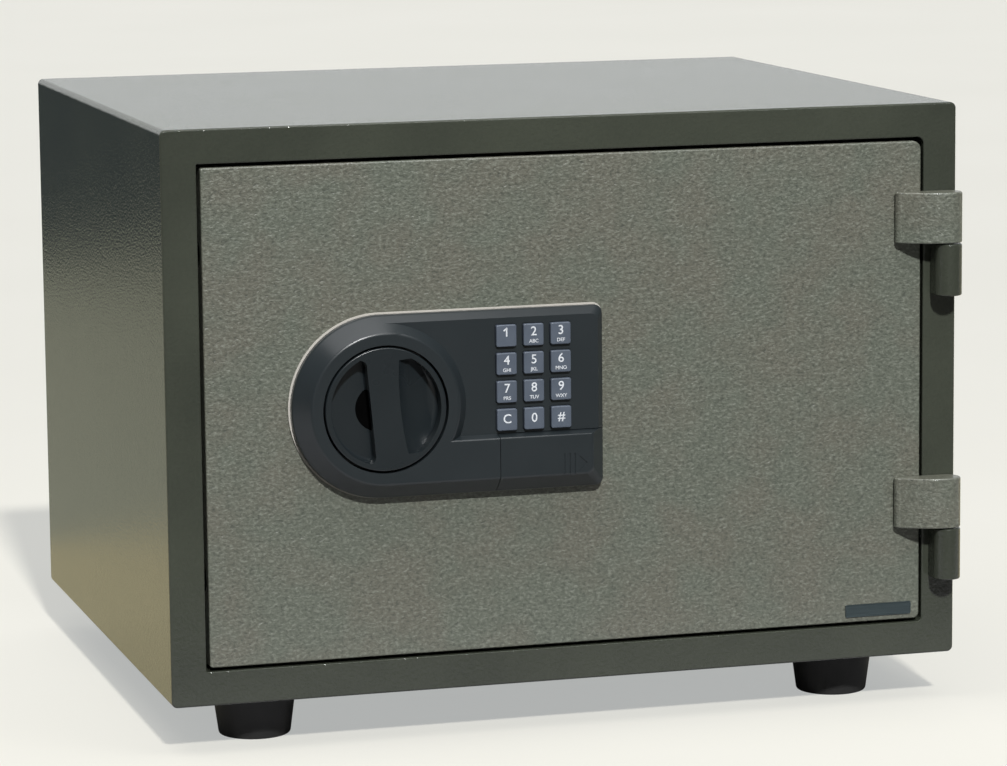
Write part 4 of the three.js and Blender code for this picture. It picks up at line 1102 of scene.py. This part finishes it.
def makePlate():
    # The small plate low on the door's right, left bare
    s = plateSizes
    plate = addBox("barePlate", (s["left"], s["front"], s["bottom"]), (s["right"], 0.05, s["top"]))
    roundEdges(plate, s["corner"], 3, runsBack(0.5))
    pickFaces(plate, lambda middle, normal: normal.y < -0.9)
    inset(s["rim"])
    inset(s["lip"])
    move(0, s["sunk"], 0)
    soften(plate, 0.1, 2, 60)
    finishPiece(plate, plateAluminium, "door", "plain_steel")


# Nodes that keep their shape

keptNodes = {
    "back_panel": bodyPaint, "fire_fill": insulation, "door_fill": insulation, "bolt_bar": zincSteel,
    "bolt_guide": zincSteel, "knob_spindle": zincSteel, "solenoid": zincSteel,
    "solenoid_plunger": chromeSteel, "keypad_board": boardResist, "battery_tray": lockPlastic,
    "hinge_pin_lower": zincSteel, "hinge_pin_upper": zincSteel}
for name in feet["places"]:
    keptNodes["foot_screw_" + name] = zincSteel
for number in range(1, 5):
    keptNodes[f"cell_{number}"] = cellSleeve


def dressKeptNodes():
    for name, material in keptNodes.items():
        mesh = frame["nodes"][name].data
        mesh.materials.clear()
        mesh.materials.append(material)


makeCabinetShell()
makeLiner()
makeFeet()
makeHinges()
print("cabinet made")
makeDoorPan()
makeInnerCover()
makeSeal()
makeBolts()
makeCoverScrews()
print("door made")
form = housingForm("lockHousing")
coverForm = copyOf(form, "batteryCover")
makeHighlightStrip(form)
makeLockHousing(form)
makeBatteryCover(coverForm)
makeKnob()
makeKeys()
makePlate()
print("lock made")
dressKeptNodes()


# Floor, light and camera

studio = {
    "sunHeight": 40.0, "sunAside": 4.0, "sunStrength": 3.35, "sunAngle": 3.5, "fill": (0.04, 0.8),
    "floor": ("#e6e0cf", "#ece7d9"), "bounce": "#545350", "backdrop": "#eef1f0", "frontDusk": 0.16,
    "mirrored": ((-0.45, "#54534c"), (-0.33, "#c6c5c8"), (-0.14, "#c6c5c8"), (-0.06, "#ccc299"),
                 (0.4, "#ccc299"), (0.45, "#a9aa94")),
    "seenPaler": 0.5, "cardPlace": (-0.9, 1.85), "cardWidth": 1.8, "cardHeight": 0.32,
    "panels": {"wide": ((-0.28, -0.27, 1.0), 0.9, 0.5, 3.5),
               "narrow": ((0.28, -0.62, 0.98), 0.5, 0.3, 1.6)}}


def blendShaders(material, share, first, second):
    return addNode(material, "MixShader", {}, {0: share, 1: first, 2: second}).outputs[0]


def makeWorld():
    world = bpy.context.scene.world or bpy.data.worlds.new("studio")
    bpy.context.scene.world = world
    world.use_nodes = True
    world.node_tree.nodes.clear()
    heading = addNode(world, "TexCoord", {}, {}).outputs["Generated"]
    parts = addNode(world, "SeparateXYZ", {}, {"Vector": heading}).outputs
    rays = addNode(world, "LightPath", {}, {}).outputs
    room = {"Color": linear(studio["backdrop"])}
    # Mirrored rays meet a pale room behind, dimmer upwards, and a dim one in front, where the camera is
    back = spread(world, parts["Y"], 0.0, 0.35)
    height = spread(world, parts["Z"], 0.0, 0.5, 1.0, 0.5)
    share = addNode(world, "Math", {"operation": "MULTIPLY"}, {0: back, 1: height}).outputs["Value"]
    level = spread(world, share, 0.0, 1.0, studio["frontDusk"], 1.0)
    mirrored = addNode(world, "Background", room, {"Strength": level}).outputs[0]
    # The soft light on the safe itself comes mostly from behind, so that its back isn't black
    soft = spread(world, parts["Y"], -0.2, 0.4, *studio["fill"])
    fill = addNode(world, "Background", {}, {"Strength": soft}).outputs[0]
    seen = addNode(world, "Background", room, {}).outputs[0]
    unseen = blendShaders(world, rays["Is Glossy Ray"], fill, mirrored)
    final = blendShaders(world, rays["Is Camera Ray"], unseen, seen)
    addNode(world, "OutputWorld", {}, {"Surface": final})


def makePaler(material):
    # The board looks paler to the camera, and it keeps the safe's shadow. It throws little light back
    # up, so that shadows on the safe stay deep. Mirrored, it is dark in front, bright near the safe,
    # warm beside it and duller behind: "mirrored" has the metres along Y with their colours
    rays = addNode(material, "LightPath", {}, {}).outputs
    shader = material.node_tree.nodes["Principled BSDF"]
    painted = shader.inputs["Base Color"].links[0].from_socket
    heading = addNode(material, "TexCoord", {}, {}).outputs["Object"]
    place = addNode(material, "SeparateXYZ", {}, {0: heading}).outputs
    ramp = addNode(material, "ValToRGB", {}, {"Fac": spread(material, place["Y"], -1.0, 1.0)})
    stops = ramp.color_ramp.elements
    for index, (y, tone) in enumerate(studio["mirrored"]):
        stop = stops[index] if index < 2 else stops.new(1.0)
        stop.position = (y + 1) / 2
        stop.color = linear(tone)
    unseen = blendColours(material, rays["Is Glossy Ray"], studio["bounce"], ramp.outputs["Color"])
    feed(material, shader, Base_Color=blendColours(material, rays["Is Camera Ray"], unseen, painted))
    share = addNode(material, "Math", {"operation": "MULTIPLY", 1: studio["seenPaler"]},
                    {0: rays["Is Camera Ray"]}).outputs["Value"]
    pale = addNode(material, "Emission", {"Color": linear(studio["backdrop"])}, {}).outputs[0]
    mixed = blendShaders(material, share, shader.outputs[0], pale)
    output = material.node_tree.nodes["Material Output"]
    material.node_tree.links.new(mixed, output.inputs["Surface"])


def addLight(kind, name, place, energy):
    bpy.ops.object.light_add(type=kind, location=place)
    light = bpy.context.object
    light.name = name
    light.data.energy = energy
    return light


def makeStage():
    deselectAll()
    bpy.ops.mesh.primitive_plane_add(size=40, location=(0, 8, 0))
    floor = settle("studioFloor")
    # Painted board, rolled flat: pale and dull
    board = makeGrained("paintedBoard", *studio["floor"], 3.0, 0.05, 0.75, cloud=400)
    makePaler(board)
    floor.data.materials.append(board)
    # A dark card stands out of view behind on the left and is mirrored in the side
    place = (*studio["cardPlace"], studio["cardHeight"] / 2)
    bpy.ops.mesh.primitive_plane_add(size=1, location=place, rotation=(math.pi / 2, 0, 0))
    bpy.context.object.scale = (studio["cardWidth"], studio["cardHeight"], 1)
    card = settle("darkCard")
    card.visible_camera = card.visible_shadow = card.visible_diffuse = False
    card.data.materials.append(makeGrained("greyBoard", "#343d3f", "#3c4648", 3.0, 0.05, 0.8))
    turn = Euler((math.radians(-studio["sunHeight"]), 0, math.radians(-studio["sunAside"])))
    towards = turn.to_matrix() @ Vector((0, -1, 0))
    sun = addLight("SUN", "softSun", towards * 3, studio["sunStrength"])
    sun.data.angle = math.radians(studio["sunAngle"])
    sun.rotation_euler = towards.to_track_quat("Z", "Y").to_euler()
    # Soft panels overhead, out of view: the wide one is mirrored in the lock's slopes and the narrow
    # one in the rounded upper edges
    for name, (place, width, depth, power) in studio["panels"].items():
        panel = addLight("AREA", name + "Panel", place, power)
        panel.data.shape = "RECTANGLE"
        panel.data.size, panel.data.size_y = width, depth
        panel.visible_camera = False


cameraView = {"place": (-0.6088, -2.1433, 0.4944), "yaw": -0.2817, "pitch": -0.1520, "roll": 0.0100,
              "lens": 150.26}


def makeCamera():
    v = cameraView
    deselectAll()
    bpy.ops.object.camera_add(location=v["place"])
    camera = bpy.context.object
    camera.name = "photoCamera"
    camera.data.lens = v["lens"]
    camera.data.sensor_width = 36.0
    turn = (Matrix.Rotation(v["yaw"], 3, "Z") @ Matrix.Rotation(v["pitch"], 3, "X")
            @ Matrix.Rotation(v["roll"], 3, "Y"))
    right, forward, up = turn.col
    looking = Matrix((right, up, -forward)).transposed()
    camera.rotation_euler = looking.to_euler()
    bpy.context.scene.camera = camera


makeWorld()
makeStage()
makeCamera()
bpy.context.scene.view_settings.view_transform = "Standard"
deselectAll()
print("stage, light and camera set")
